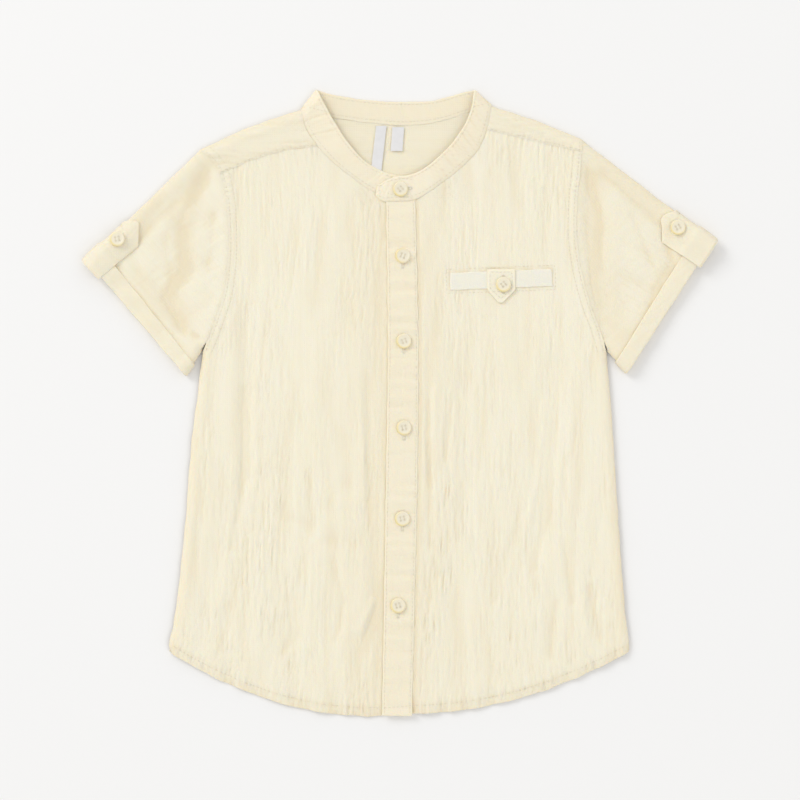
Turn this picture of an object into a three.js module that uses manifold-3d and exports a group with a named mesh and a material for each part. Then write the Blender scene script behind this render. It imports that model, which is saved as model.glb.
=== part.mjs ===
// A child's short-sleeved shirt with a band collar, buttoned and laid flat on its back.
// Millimetres: +X is the wearer's left, +Y runs up to the collar, +Z is up off the surface.
import * as THREE from "three";
import { mergeVertices } from "three/addons/utils/BufferGeometryUtils.js";
import Module from "manifold-3d";

const wasm = await Module();
wasm.setup();

// Walls and clearances
const CLOTH = 1.2;
const BAND = 1.8;
const RIBBON = 1.0;
const GAP = 0.3;
const SEAM = 0.5;
const FOLD_SEAM = 0.8;
const UNDERARM_GAP = 2.4;
const UNDERARM_ZONE = 0.08;

// Heights of the middle of each wall above the surface
const BACK_MID = CLOTH / 2;
const FRONT_MID = BACK_MID + CLOTH + 0.4;
const PLACKET_MID = FRONT_MID + CLOTH / 2 + 0.4 + BAND / 2;
const FOLD_MID = 2.3;

// How a folded edge rounds over, and how the cloth settles away from it
const FOLD_RISE = 2.6;
const FOLD_REACH = 6;
const UNDER_REACH = 3;
const SETTLE = 14;
const LOFT = 0.9;
const LOFT_FADE = 18;
const CURL_STEPS = 4;
const STEP_DOWN = 26;

// Buttons
const BUTTON_DIAMETER = 11.4;
const BUTTON_THICKNESS = 2.4;
const BUTTON_HOLE = 1.5;
const BUTTON_HOLE_SPACING = 2.7;
const BUTTON_SEAT = 0.9;
const TAB_OFFSET = 1.65;

// Turned-up cuffs: width seen at the top fold and at the underarm fold
const CUFF_LIFT = CLOTH + GAP;
const CUFF_FADE = 15;
const CUFF_CLEAR = 1.5;
const TAB_SIDE_FADE = 12;
const TAB_END_FADE = 14;

// Band collar: its rise, and where its lapped ends begin to lift off the front
const BAND_RISE = 2.6;
const BAND_FADE = 24;
const COLLAR_ENDS = { right: -18, left: 14 };
const LAPPED = 0.2;
const LAPPED_MOST = 0.5;

// Folded edges and seams, each a smooth line through the rows [x, y].
// right is the wearer's right (-X), left is the wearer's left (+X).
const SIDE = {
  right: [
    [-171, -189], [-173, -182.5], [-169.4, -166], [-163.4, -118], [-159.9, -82],
    [-156.4, -34], [-152.4, -2], [-147.4, 38.5],
  ],
  left: [
    [171, -188], [171.8, -183], [169.4, -166], [165.4, -118], [162.9, -82],
    [159.9, -34], [156.9, 8], [154.4, 38],
  ],
};
const ARMHOLE = {
  right: [
    [-147.4, 38.5], [-139, 60], [-132, 83], [-129, 110.5], [-129, 133],
    [-131, 155.5], [-137, 176], [-149.6, 189],
  ],
  left: [
    [154.4, 38], [150, 54], [142.5, 74.5], [136, 99.5], [132.5, 125.5],
    [133, 152], [135.5, 176.5], [136.7, 196.4],
  ],
};
const SHOULDER = {
  right: [[-149.6, 189], [-114, 205.4], [-74.2, 219]],
  left: [[136.7, 196.4], [100, 211.4], [68.6, 221.4]],
};
const NECK_FRONT = {
  right: [
    [9, 150], [-4, 152], [-17, 156.5], [-30, 164], [-50, 179.5],
    [-65, 196], [-71, 206], [-74.2, 219],
  ],
  left: [
    [12, 151.5], [32, 164.5], [50, 179.5], [60, 191.5], [66, 208], [68.6, 221.4],
  ],
};
const NECK_BACK = [
  [-74.2, 219], [-49, 213.5], [-19, 209.5], [4, 208], [30, 211], [51, 217.5], [68.6, 221.4],
];
const CENTRE_EDGE = {
  right: [[9, -234], [9, -40], [9, 150]],
  left: [[9.4, -234], [13.8, -50], [14.3, 50], [12, 151.5]],
};
const CUFF_END = {
  right: { top: [-235.6, 105], under: [-162.2, 19.4] },
  left: { top: [235.7, 119.6], under: [171.8, 21.5] },
};
const COLLAR_TIP = { right: [-62.5, 234.4], left: [55.8, 234.4] };

// Where the yoke's seams leave the armhole and the neck, as fractions of those lines
const YOKE = {
  right: { armhole: 0.85, neck: 0.729, bow: 4.3 },
  left: { armhole: 0.944, neck: 0.811, bow: 0 },
};
const YOKE_BACK = { right: 0.765, left: 0.758 };

// How far the curved hem drops below the line between its ends
const HEM_BOW = { right: 17, left: 11.6 };
const BACK_HEM_SHORTER = 2;

// Cuffs and their buttoned tabs: widths and places along and away from the top fold
const CUFF = {
  right: { top: 15.4, under: 12 },
  left: { top: 15, under: 13.4 },
};
const TAB = {
  right: { tip: 49, shoulder: 37, front: 16, wrap: 7, buttonAlong: 29.2, buttonIn: 4.4 },
  left: { tip: 43, shoulder: 33, front: 22, wrap: 6, buttonAlong: 29.2, buttonIn: 7.2 },
};

// Collar band sections: a point on the neck seam, and the point above it on the top edge
const COLLAR_UNDER = [
  { seam: [10.5, 150.6], top: [10, 169] },
  { seam: [-2, 152.4], top: [0, 170] },
  { seam: [-17, 157.1], top: [-9.5, 172] },
  { seam: [-30, 164.6], top: [-20, 176.5] },
  { seam: [-50, 180.2], top: [-35, 189.5] },
  { seam: [-64.6, 196.6], top: [-47, 206.5] },
  { seam: [-70.6, 206.6], top: [-54, 219] },
  { seam: [-73.8, 220.1], top: COLLAR_TIP.right },
];
const COLLAR_BACK = [
  { seam: [-73.8, 220.1], top: COLLAR_TIP.right },
  { seam: [-49, 214.3], top: [-43, 229.3] },
  { seam: [-19, 210.3], top: [-16, 226.2] },
  { seam: [4, 208.8], top: [4, 225.5] },
  { seam: [30, 211.8], top: [27, 226.8] },
  { seam: [51, 218.3], top: [42, 231] },
  { seam: [68.2, 222.5], top: COLLAR_TIP.left },
];
const COLLAR_OVER = [
  { seam: [68.2, 222.5], top: COLLAR_TIP.left },
  { seam: [65.6, 208.6], top: [52.5, 217] },
  { seam: [59.6, 192.1], top: [45, 202] },
  { seam: [49.6, 180.1], top: [35, 189.5] },
  { seam: [31.7, 165.2], top: [20, 176.5] },
  { seam: [12, 153], top: [7.5, 170.5] },
  { seam: [-6, 151.2], top: [-5, 168.5] },
  { seam: [-13.6, 151.6], top: [-12, 165.2] },
  { seam: [-18, 156], top: [-17.4, 161] },
];

// Placket strip sections, from the collar seam to the hem
const PLACKET = [
  { y: 150, left: -10.5, right: 11.4 },
  { y: 50, left: -9, right: 13.6 },
  { y: -50, left: -10.4, right: 13.1 },
  { y: -150, left: -12, right: 10.9 },
  { y: -235.4, left: -13.5, right: 8.7 },
];

// Button places on the front
const FRONT_BUTTONS = [
  { name: "button_collar", x: 0.4, y: 159.6 },
  { name: "button_1", x: 2.1, y: 109.7 },
  { name: "button_2", x: 3, y: 45.7 },
  { name: "button_3", x: 3, y: -19.3 },
  { name: "button_4", x: 1.8, y: -87.4 },
  { name: "button_5", x: -1.4, y: -152.5 },
];

// Welt pocket on the wearer's left breast, and the buttoned tab across it
const WELT = { x: 75.75, y: 92, length: 76.5, width: 13, turn: THREE.MathUtils.degToRad(2.2) };
const POCKET_TAB = { x: 75.75, top: 99.6, shoulder: 84.5, tip: 74.5, width: 21 };
const POCKET_BUTTON = { x: 77.5, y: 88.1 };

// Satin labels at the back of the neck: top middle, bottom middle and width
const LABELS = [
  { name: "label_long", top: [-14, 207.4], bottom: [-15.4, 177.6], width: 8 },
  { name: "label_short", top: [-1.2, 206.4], bottom: [-2.6, 188.5], width: 9 },
];

// The largest folds of the upper layer: a valley has a negative height
const FOLDS = [
  { height: -1.3, width: 6, line: [[-112.5, 70], [-114, 10], [-116, -55]] },
  { height: 0.9, width: 6, line: [[-127, 60], [-125, 0], [-123, -58]] },
  { height: -0.9, width: 5, line: [[-139, 47], [-144, 13]] },
  { height: -0.6, width: 6, line: [[-22, -159], [-34, -208], [-37, -223]] },
  { height: -0.8, width: 7, line: [[-82, -133], [-75, -178]] },
  { height: -0.6, width: 6, line: [[-86, -80], [-60, -103], [-34, -107]] },
  { height: -0.9, width: 7, line: [[-142, -110], [-150, -182]] },
  { height: 0.7, width: 9, line: [[-60, 60], [-64, -40]] },
  { height: 0.6, width: 9, line: [[-100, -120], [-108, -190]] },
  { height: -1.1, width: 11, line: [[116, 24], [105, -73], [94, -110], [75, -140]] },
  { height: 0.8, width: 9, line: [[132, 20], [128, -70], [120, -120]] },
  { height: -0.9, width: 6, line: [[142, -129], [153, -182]] },
  { height: 0.7, width: 7, line: [[30, 40], [31, -118]] },
  { height: -0.7, width: 6, line: [[48, 20], [50, -90]] },
  { height: 0.6, width: 9, line: [[66, -150], [60, -210]] },
  { height: -0.9, width: 6, line: [[-148, 160], [-158, 122], [-158, 96], [-173, 73], [-166, 56]] },
  { height: -0.7, width: 6, line: [[-164, 166], [-200, 118]] },
  { height: 0.6, width: 7, line: [[-182, 140], [-190, 90]] },
  { height: -1.1, width: 7, line: [[143, 168], [147, 122], [154, 60]] },
  { height: -0.8, width: 6, line: [[199, 126], [204, 103], [187, 73]] },
  { height: 0.6, width: 8, line: [[166, 150], [180, 100]] },
];

const clamp = (value) => Math.min(1, Math.max(0, value));
const lerp = (a, b, t) => a + (b - a) * t;
const mix = (a, b, t) => a.map((value, k) => lerp(value, b[k], t));
const smooth = (value) => {
  const t = clamp(value);
  return t * t * (3 - 2 * t);
};
const sideOf = (side) => (side === "right" ? -1 : 1);

// The smooth line through a table of points, read at a fraction of its length
function curve(rows) {
  const line = new THREE.CatmullRomCurve3(
    rows.map(([x, y]) => new THREE.Vector3(x, y, 0)), false, "centripetal",
  );
  line.arcLengthDivisions = 400;
  return (fraction) => {
    const point = line.getPointAt(clamp(fraction));
    return [point.x, point.y];
  };
}

// A stretch of a line, read from 0 to 1
const stretch = (line, from, to) => (fraction) => line(lerp(from, to, fraction));

// A straight line between two points with a bow halfway
const bowed = (a, b, bow) => (t) => {
  const [x, y] = mix(a, b, t);
  return [x, y + 4 * bow * t * (1 - t)];
};

const lines = {};
for (const side of ["right", "left"]) {
  lines[side] = {
    side: curve(SIDE[side]),
    armhole: curve(ARMHOLE[side]),
    shoulder: curve(SHOULDER[side]),
    neck: curve(NECK_FRONT[side]),
    centre: curve(CENTRE_EDGE[side]),
  };
}
const neckBack = curve(NECK_BACK);

// The sheet that fills four edges, each a function of its own fraction
function patch(bottom, top, left, right) {
  const corners = [bottom(0), bottom(1), top(0), top(1)];
  return (u, v) => {
    const edges = [bottom(u), top(u), left(v), right(v)];
    return [0, 1].map((k) =>
      lerp(edges[0][k], edges[1][k], v) + lerp(edges[2][k], edges[3][k], u) -
      lerp(lerp(corners[0][k], corners[1][k], u), lerp(corners[2][k], corners[3][k], u), v));
  };
}

// Folded edges as straight pieces that keep the garment on their inner side
const CUFF_RUN_OUT = 8;
const foldPieces = [];
function addFold(points, side) {
  for (let i = 1; i < points.length; i++) {
    const [a, b] = [points[i - 1], points[i]];
    const length = Math.hypot(b[0] - a[0], b[1] - a[1]);
    const turn = sideOf(side);
    const inward = [(-(b[1] - a[1]) / length) * turn, ((b[0] - a[0]) / length) * turn];
    foldPieces.push({ a, b, length, inward });
  }
}
const beyond = (from, to, extra) => {
  const length = Math.hypot(to[0] - from[0], to[1] - from[1]);
  return mix(from, to, 1 + extra / length);
};
const SAMPLES = 24;
for (const side of ["right", "left"]) {
  const steps = Array.from({ length: SAMPLES + 1 }, (_, i) => i / SAMPLES);
  const armhole = lines[side].armhole;
  const { start: underarm, end: under } = sleeveFrame(side, 1);
  const lower = steps.map(lines[side].side);
  addFold([...lower, underarm, under, beyond(underarm, under, CUFF_RUN_OUT)], side);
  const top = CUFF_END[side].top;
  const upper = steps.map(lines[side].shoulder);
  const start = beyond(armhole(1), top, CUFF_RUN_OUT);
  addFold([start, top, ...upper, COLLAR_TIP[side]], side);
}

// Distance to the nearest folded edge, and the direction away from it
function nearestFold(x, y) {
  let best = { distance: Infinity };
  for (const { a, b, length, inward } of foldPieces) {
    const t = clamp(((x - a[0]) * (b[0] - a[0]) + (y - a[1]) * (b[1] - a[1])) / length ** 2);
    const distance = Math.hypot(x - lerp(a[0], b[0], t), y - lerp(a[1], b[1], t));
    if (distance < best.distance) best = { distance, inward };
  }
  return best;
}

// Folds of the cloth, softened towards their ends
function relief(x, y) {
  let height = 0;
  for (const fold of FOLDS) {
    let nearest = Infinity;
    for (let i = 1; i < fold.line.length; i++) {
      const [a, b] = [fold.line[i - 1], fold.line[i]];
      const [dx, dy] = [b[0] - a[0], b[1] - a[1]];
      const t = clamp(((x - a[0]) * dx + (y - a[1]) * dy) / (dx * dx + dy * dy));
      nearest = Math.min(nearest, Math.hypot(x - a[0] - dx * t, y - a[1] - dy * t));
    }
    height += fold.height * Math.exp(-((nearest / fold.width) ** 2));
  }
  return height;
}

// The seam between the placket and the left front, and where the underlap behind it begins
const placketRight = (y) => {
  const t = clamp((y + 234) / 385);
  return lines.left.centre(t)[0];
};
const UNDERLAP_FLAT = -15;

// Height of the upper layer: it rounds over at the folds and lies on what is under it
function upperHeight(x, y, side) {
  const { distance } = nearestFold(x, y);
  const peak = FOLD_MID + FOLD_RISE;
  const round = Math.sqrt(1 - (1 - clamp(distance / FOLD_REACH)) ** 2);
  const settled = FRONT_MID + (peak - FRONT_MID) * Math.exp(-(distance - FOLD_REACH) / SETTLE);
  const rest = distance < FOLD_REACH ? FOLD_MID + FOLD_RISE * round : settled;
  const away = x - placketRight(y);
  const free = side === "right" ? smooth((UNDERLAP_FLAT - x) / LOFT_FADE) : smooth(away / LOFT_FADE);
  const step = side === "right" ? 0 : (PLACKET_MID - FRONT_MID) * (1 - smooth(away / STEP_DOWN));
  const loft = Math.max(0, LOFT + relief(x, y)) * smooth((distance - FOLD_REACH) / LOFT_FADE);
  return rest + step + loft * free;
}

// Height of the lower layer: flat on the surface, rounding up to the folds
function lowerHeight(x, y) {
  const { distance } = nearestFold(x, y);
  const round = Math.sqrt(1 - (1 - clamp(distance / UNDER_REACH)) ** 2);
  return FOLD_MID - (FOLD_MID - BACK_MID) * round;
}

// A sheet of cloth as points and triangles, welded where its patches share an edge
class Sheet {
  points = [];
  faces = [];
  known = new Map();

  point(place) {
    const key = place.map((value) => Math.round(value * 1e3)).join();
    if (!this.known.has(key)) {
      this.known.set(key, this.points.length);
      this.points.push(place);
    }
    return this.known.get(key);
  }

  grid(columns, rows, at, turned = false) {
    const index = [];
    for (let j = 0; j <= rows; j++) {
      index.push(Array.from({ length: columns + 1 }, (_, i) => this.point(at(i, j))));
    }
    for (let j = 0; j < rows; j++) {
      for (let i = 0; i < columns; i++) {
        const [a, b] = [index[j][i], index[j][i + 1]];
        const [c, d] = [index[j + 1][i + 1], index[j + 1][i]];
        this.face(a, b, c, turned);
        this.face(a, c, d, turned);
      }
    }
  }

  face(a, b, c, turned) {
    if (a === b || b === c || a === c) return;
    this.faces.push(turned ? [a, c, b] : [a, b, c]);
  }

  // The closed wall on both sides of the sheet
  wall(thickness) {
    const points = this.points.map((place) => new THREE.Vector3(...place));
    const normals = points.map(() => new THREE.Vector3());
    const edges = new Map();
    for (const face of this.faces) {
      const [a, b, c] = face.map((i) => points[i]);
      const normal = b.clone().sub(a).cross(c.clone().sub(a));
      face.forEach((i) => normals[i].add(normal));
      face.forEach((from, k) => edges.set(from + "," + face[(k + 1) % 3], [from, face[(k + 1) % 3]]));
    }
    const half = thickness / 2;
    const outer = points.map((p, i) => p.clone().addScaledVector(normals[i].normalize(), half));
    const inner = points.map((p, i) => p.clone().addScaledVector(normals[i], -half));
    [...outer, ...inner].forEach((p) => (p.z = Math.max(0, p.z)));
    const count = points.length;
    const triangles = [];
    for (const [a, b, c] of this.faces) {
      triangles.push([a, b, c], [a + count, c + count, b + count]);
    }
    for (const [from, to] of edges.values()) {
      if (edges.has(to + "," + from)) continue;
      triangles.push([from + count, to + count, to], [from + count, to, from]);
    }
    const geometry = new THREE.BufferGeometry();
    const all = [...outer, ...inner].flatMap((p) => [p.x, p.y, p.z]);
    geometry.setAttribute("position", new THREE.Float32BufferAttribute(all, 3));
    geometry.setIndex(triangles.flat());
    geometry.computeVertexNormals();
    return geometry;
  }
}

// Distances from a folded edge at which the rounding is cut, then even steps across the rest
const curlSteps = (reach) =>
  Array.from({ length: CURL_STEPS + 1 }, (_, k) => reach * (1 - Math.cos((k * Math.PI) / 2 / CURL_STEPS)));

function spread(length, even, start, end) {
  const near = start ? curlSteps(start).map((d) => d / length) : [0];
  const far = end ? curlSteps(end).map((d) => 1 - d / length).reverse() : [1];
  const [from, to] = [near[near.length - 1], far[0]];
  const middle = Array.from({ length: even - 1 }, (_, i) => lerp(from, to, (i + 1) / even));
  return [...near, ...middle, ...far];
}

const material = (color, roughness) =>
  new THREE.MeshStandardMaterial({ color, roughness, metalness: 0, side: THREE.DoubleSide });
const gauze = material(0xf1e9d0, 0.9);
const poplin = material(0xf3ecd6, 0.85);
const satin = material(0xf6f4f0, 0.5);
const resin = material(0xebdfc1, 0.35);

const shirt = new THREE.Group();
shirt.name = "band_collar_shirt";
function addPiece(name, geometry, finish) {
  const piece = new THREE.Mesh(geometry, finish);
  piece.name = name;
  shirt.add(piece);
  return piece;
}

// Edge of the body from the hem up the side seam (0 to 1) and up the armhole (1 to 2)
const outerEdge = (side) => (e) => (e <= 1 ? lines[side].side(e) : lines[side].armhole(e - 1));

// Edge of a front from the hem up the middle (0 to 1) and round the neck (1 to 2)
const innerEdge = (side) => (c) => (c <= 1 ? lines[side].centre(c) : lines[side].neck(c - 1));

// How finely the body is cut: columns across it, and the rows that follow its hem and its yoke
const FRONT_COLUMNS = 15;
const HEM_ROWS = 8;
const YOKE_ROWS = 5;
const BACK_COLUMNS = 12;
const BACK_ROWS = 10;
const BACK_START = 0.008;
const FLAP_DEPTH = 30;

// How the outer and inner edges of a front pair up, from the hem to the yoke
const FRONT_ROWS = {
  right: [
    { outer: 0, inner: 0 }, { outer: 0.31, inner: 0.2 }, { outer: 0.67, inner: 0.48 },
    { outer: 1, inner: 0.72 }, { outer: 1.3, inner: 0.86 }, { outer: 1.66, inner: 1 },
    { outer: 1.75, inner: 1.3 }, { outer: 1 + YOKE.right.armhole, inner: 1 + YOKE.right.neck },
  ],
  left: [
    { outer: 0, inner: 0 }, { outer: 0.31, inner: 0.2 }, { outer: 0.67, inner: 0.48 },
    { outer: 1, inner: 0.72 }, { outer: 1.3, inner: 0.86 }, { outer: 1.7, inner: 1 },
    { outer: 1.82, inner: 1.36 }, { outer: 1 + YOKE.left.armhole, inner: 1 + YOKE.left.neck },
  ],
};
const FRONT_STEPS = [3, 4, 3, 3, 3, 2, 3];
const pairAt = (rows, steps) => {
  const pairs = [rows[0]];
  for (let k = 1; k < rows.length; k++) {
    const count = steps[k - 1];
    for (let i = 1; i <= count; i++) {
      const t = i / count;
      const [a, b] = [rows[k - 1], rows[k]];
      pairs.push({ outer: lerp(a.outer, b.outer, t), inner: lerp(a.inner, b.inner, t) });
    }
  }
  return pairs;
};

const frontHem = (side) => {
  const [outer, inner] = [outerEdge(side)(0), innerEdge(side)(0)];
  return bowed(outer, inner, -HEM_BOW[side]);
};
const yokeSeam = (side) => {
  const outer = lines[side].armhole(YOKE[side].armhole);
  return bowed(outer, lines[side].neck(YOKE[side].neck), YOKE[side].bow);
};

// One front, from its side seam and armhole to the middle and the neck
function buildFront(side) {
  const pairs = pairAt(FRONT_ROWS[side], FRONT_STEPS);
  const hem = frontHem(side);
  const yoke = yokeSeam(side);
  const last = pairs.length - 1;
  const corner = [hem(0), hem(1), yoke(0), yoke(1)];
  const sheet = new Sheet();
  const columns = CURL_STEPS + FRONT_COLUMNS;
  sheet.grid(columns, last, (i, j) => {
    const { outer, inner } = pairs[j];
    const [a, b] = [outerEdge(side)(outer), innerEdge(side)(inner)];
    const u = spread(Math.hypot(b[0] - a[0], b[1] - a[1]), FRONT_COLUMNS, FOLD_REACH, 0)[i];
    const hemShare = 1 - smooth(j / HEM_ROWS);
    const yokeShare = smooth((j - last + YOKE_ROWS) / YOKE_ROWS);
    const straight = mix(a, b, u);
    const hemPull = hem(u)[1] - lerp(corner[0][1], corner[1][1], u);
    const yokePull = yoke(u)[1] - lerp(corner[2][1], corner[3][1], u);
    const x = straight[0];
    const y = straight[1] + hemPull * hemShare + yokePull * yokeShare;
    const onFold = i === 0 && outer <= 1;
    return [x, y, onFold ? FOLD_MID + FOLD_SEAM / 2 : upperHeight(x, y, side)];
  }, side === "left");
  return sheet.wall(CLOTH);
}

// The back below the yoke, flat on the surface
function buildBack() {
  const columns = 2 * CURL_STEPS + BACK_COLUMNS;
  const hemAt = (x) => {
    const middle = innerEdge("right")(0)[0];
    const side = x < middle ? "right" : "left";
    const [outer, inner] = [outerEdge(side)(0), innerEdge(side)(0)];
    return frontHem(side)(clamp((x - outer[0]) / (inner[0] - outer[0])))[1] + BACK_HEM_SHORTER;
  };
  const sheet = new Sheet();
  sheet.grid(columns, BACK_ROWS, (i, j) => {
    const v = j / BACK_ROWS;
    const edge = lerp(BACK_START, 1 + YOKE_BACK.right, v);
    const a = outerEdge("right")(edge);
    const b = outerEdge("left")(lerp(BACK_START, 1 + YOKE_BACK.left, v));
    const u = spread(b[0] - a[0], BACK_COLUMNS, UNDER_REACH, UNDER_REACH)[i];
    const [x, level] = mix(a, b, u);
    const hemShare = (1 - v) ** 3;
    const y = level + Math.min(0, hemAt(x) - lerp(a[1], b[1], u)) * hemShare;
    const onFold = (i === 0 || i === columns) && edge <= 1;
    return [x, y, onFold ? FOLD_MID - FOLD_SEAM / 2 : lowerHeight(x, y)];
  }, true);
  return sheet.wall(CLOTH);
}

// The yoke: a back panel that folds over both shoulders to short front panels
function buildYoke() {
  const sheet = new Sheet();
  const across = 6;
  const around = 10;
  for (const side of ["right", "left"]) {
    const { armhole, shoulder, neck } = lines[side];
    const flap = patch(
      yokeSeam(side), shoulder,
      stretch(armhole, YOKE[side].armhole, 1), stretch(neck, YOKE[side].neck, 1),
    );
    const rows = CURL_STEPS + 3;
    sheet.grid(across, rows, (i, j) => {
      const u = i / across;
      const [low, high] = [flap(u, 0), flap(u, 1)];
      const deep = Math.hypot(high[0] - low[0], high[1] - low[1]);
      const v = j === 0 ? SEAM / FLAP_DEPTH : spread(deep, 3, 0, FOLD_REACH)[j];
      const [x, y] = flap(u, v);
      return [x, y, j === rows ? FOLD_MID : upperHeight(x, y, side)];
    }, side === "left");
  }
  const seam = [lines.right.armhole(YOKE_BACK.right), lines.left.armhole(YOKE_BACK.left)];
  const tops = [
    ...Array.from({ length: across }, (_, i) => lines.right.shoulder(i / across)),
    ...Array.from({ length: around }, (_, i) => neckBack(i / around)),
    ...Array.from({ length: across + 1 }, (_, i) => lines.left.shoulder(1 - i / across)),
  ];
  const columns = tops.length - 1;
  const bottoms = tops.map((top, i) => {
    const even = mix(seam[0], seam[1], i / columns);
    const under = clamp((top[0] - seam[0][0]) / (seam[1][0] - seam[0][0]));
    const [x, y] = mix(even, mix(seam[0], seam[1], under), 0.5);
    return [x, y + SEAM];
  });
  const bottom = (u) => bottoms[Math.round(u * columns)];
  const top = (u) => tops[Math.round(u * columns)];
  const panel = patch(
    bottom, top,
    stretch(lines.right.armhole, YOKE_BACK.right, 1), stretch(lines.left.armhole, YOKE_BACK.left, 1),
  );
  const rows = CURL_STEPS + 4;
  sheet.grid(columns, rows, (i, j) => {
    const u = i / columns;
    const folded = i <= across || i >= columns - across;
    const deep = Math.hypot(top(u)[0] - bottom(u)[0], top(u)[1] - bottom(u)[1]);
    const v = spread(deep, 4, 0, UNDER_REACH)[j];
    const [x, y] = panel(u, v);
    return [x, y, folded && j === rows ? FOLD_MID : lowerHeight(x, y)];
  }, true);
  return sheet.wall(CLOTH);
}

// A point of the flattened sleeve. along runs from the armhole (0) to the cuff end (1),
// inward is the distance from the top fold, and offset lies outside the cloth.
function sleeveFrame(side, across) {
  const armhole = lines[side].armhole;
  const ahead = armhole(1 - across);
  const behind = armhole(clamp(1 - across + 0.01));
  const before = armhole(clamp(1 - across - 0.01));
  const length = Math.hypot(behind[0] - before[0], behind[1] - before[1]);
  const turn = sideOf(side);
  const away = [((behind[1] - before[1]) / length) * turn, ((before[0] - behind[0]) / length) * turn];
  const gap = SEAM + (UNDERARM_GAP - SEAM) * smooth((across - 1 + UNDERARM_ZONE) / UNDERARM_ZONE);
  const start = [ahead[0] + away[0] * gap, ahead[1] + away[1] * gap];
  const end = mix(CUFF_END[side].top, CUFF_END[side].under, across);
  return { start, end, length: Math.hypot(end[0] - start[0], end[1] - start[1]) };
}

// How far the cuff and the tab spread the flattened sleeve
function sleeveLift(side, across, fromEnd, length, inward) {
  const cuff = lerp(CUFF[side].top, CUFF[side].under, across);
  const fade = Math.min(CUFF_FADE, length - cuff - CUFF_CLEAR);
  const { wrap, shoulder } = TAB[side];
  const besideTab = 1 - smooth((inward - wrap - 1) / TAB_SIDE_FADE);
  const belowTab = 1 - smooth((fromEnd - shoulder - 3) / TAB_END_FADE);
  const overCuff = 1 - smooth((fromEnd - cuff - CUFF_CLEAR) / fade);
  return CUFF_LIFT * overCuff + CUFF_LIFT * besideTab * belowTab;
}

function sleevePoint(side, layer, fromEnd, across, offset) {
  const frame = sleeveFrame(side, across);
  const [x, y] = mix(frame.end, frame.start, fromEnd / frame.length);
  const top = sleeveFrame(side, 0);
  const foldPoint = mix(top.end, top.start, fromEnd / top.length);
  const inward = Math.hypot(x - foldPoint[0], y - foldPoint[1]);
  const lift = sleeveLift(side, across, fromEnd, frame.length, inward);
  const height = (px, py) => (layer > 0 ? upperHeight(px, py, side) : lowerHeight(px, py));
  const near = nearestFold(x, y);
  const onFold = across === 0 || across === 1;
  const level = onFold ? FOLD_MID : height(x, y);
  const reach = 0.05;
  const slope = (height(x + near.inward[0] * reach, y + near.inward[1] * reach) - height(x, y)) / reach;
  const steep = Math.hypot(1, slope);
  const flat = onFold ? -1 : (-slope * layer) / steep;
  const rise = onFold ? 0 : layer / steep;
  return [
    x + near.inward[0] * flat * offset,
    y + near.inward[1] * flat * offset,
    Math.max(level + lift + rise * offset, 0),
  ];
}

// Width of the flattened sleeve at a distance from the cuff end
function sleeveWidth(side, fromEnd) {
  const frames = [sleeveFrame(side, 0), sleeveFrame(side, 1)];
  const [a, b] = frames.map((frame) => mix(frame.end, frame.start, fromEnd / frame.length));
  return Math.hypot(b[0] - a[0], b[1] - a[1]);
}

// Distances from the top fold that the sleeve and its tab share
const tabSteps = (side, layer) => {
  const tab = TAB[side];
  if (layer < 0) return [...curlSteps(UNDER_REACH), tab.wrap];
  return [...curlSteps(FOLD_REACH), (tab.front + FOLD_REACH) / 2, tab.front];
};

// Steps across the flattened sleeve, from the top fold to the underarm fold
function sleeveSteps(side, fromEnd, even, layer) {
  const width = sleeveWidth(side, fromEnd);
  const near = tabSteps(side, layer).map((d) => d / width);
  const far = curlSteps(layer > 0 ? FOLD_REACH : UNDER_REACH).map((d) => 1 - d / width).reverse();
  const [from, to] = [near[near.length - 1], far[0]];
  const middle = Array.from({ length: even - 1 }, (_, i) => lerp(from, to, (i + 1) / even));
  return [...near, ...middle, ...far];
}

// Rings round the sleeve: each row gives the distance from the cuff end and the offset
function sleeveRings(side, rows, wall) {
  const sheet = new Sheet();
  for (const layer of [1, -1]) {
    const even = layer > 0 ? 7 : 6;
    const columns = sleeveSteps(side, 0, even, layer).length - 1;
    sheet.grid(columns, rows.length - 1, (i, j) => {
      const across = sleeveSteps(side, rows[j].fromEnd(0, sleeveFrame(side, 0).length), even, layer)[i];
      const { length } = sleeveFrame(side, across);
      return sleevePoint(side, layer, rows[j].fromEnd(across, length), across, rows[j].offset);
    }, (side === "right") === layer > 0);
  }
  return sheet.wall(wall);
}

// The tab's point: how far along it each row lies, and where the row ends past the top fold
const TAB_POINT = [
  { at: 0.15, wrap: 1.85 }, { at: 0.3, wrap: 0.88 }, { at: 0.45, wrap: 0 },
  { at: 0.72, wrap: -1.76 }, { at: 1, wrap: -4 },
];

// Distances from the cuff end, along the top fold, that the sleeve and its tab share
const cuffWidth = (side, across) => lerp(CUFF[side].top, CUFF[side].under, across);
const tabRows = (side) => {
  const { tip, shoulder } = TAB[side];
  const cuff = CUFF[side].top;
  const point = TAB_POINT.map((row) => lerp(shoulder, tip, row.at));
  return [cuff + 0.8, cuff + 5, cuff + 11, shoulder, ...point];
};

// Sleeve rows from the armhole to just inside the cuff's end, level with the rows of the tab
const INSIDE_CUFF = 1.7;
const sleeveRows = (side) => {
  const whole = sleeveFrame(side, 0).length;
  const beyondTab = [whole, lerp(whole, TAB[side].tip, 0.33), lerp(whole, TAB[side].tip, 0.67)];
  const rows = [...beyondTab, ...tabRows(side).reverse()].map((along) => ({
    fromEnd: (across, length) => {
      const cuff = cuffWidth(side, across);
      const share = (along - CUFF[side].top) / (whole - CUFF[side].top);
      const scaled = cuff + share * (length - cuff);
      return along === whole ? length : lerp(along, scaled, smooth((across - 0.2) / 0.5));
    },
    offset: 0,
  }));
  return [
    ...rows,
    { fromEnd: (across) => cuffWidth(side, across) * 0.5, offset: 0 },
    { fromEnd: () => INSIDE_CUFF, offset: 0 },
  ];
};

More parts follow.
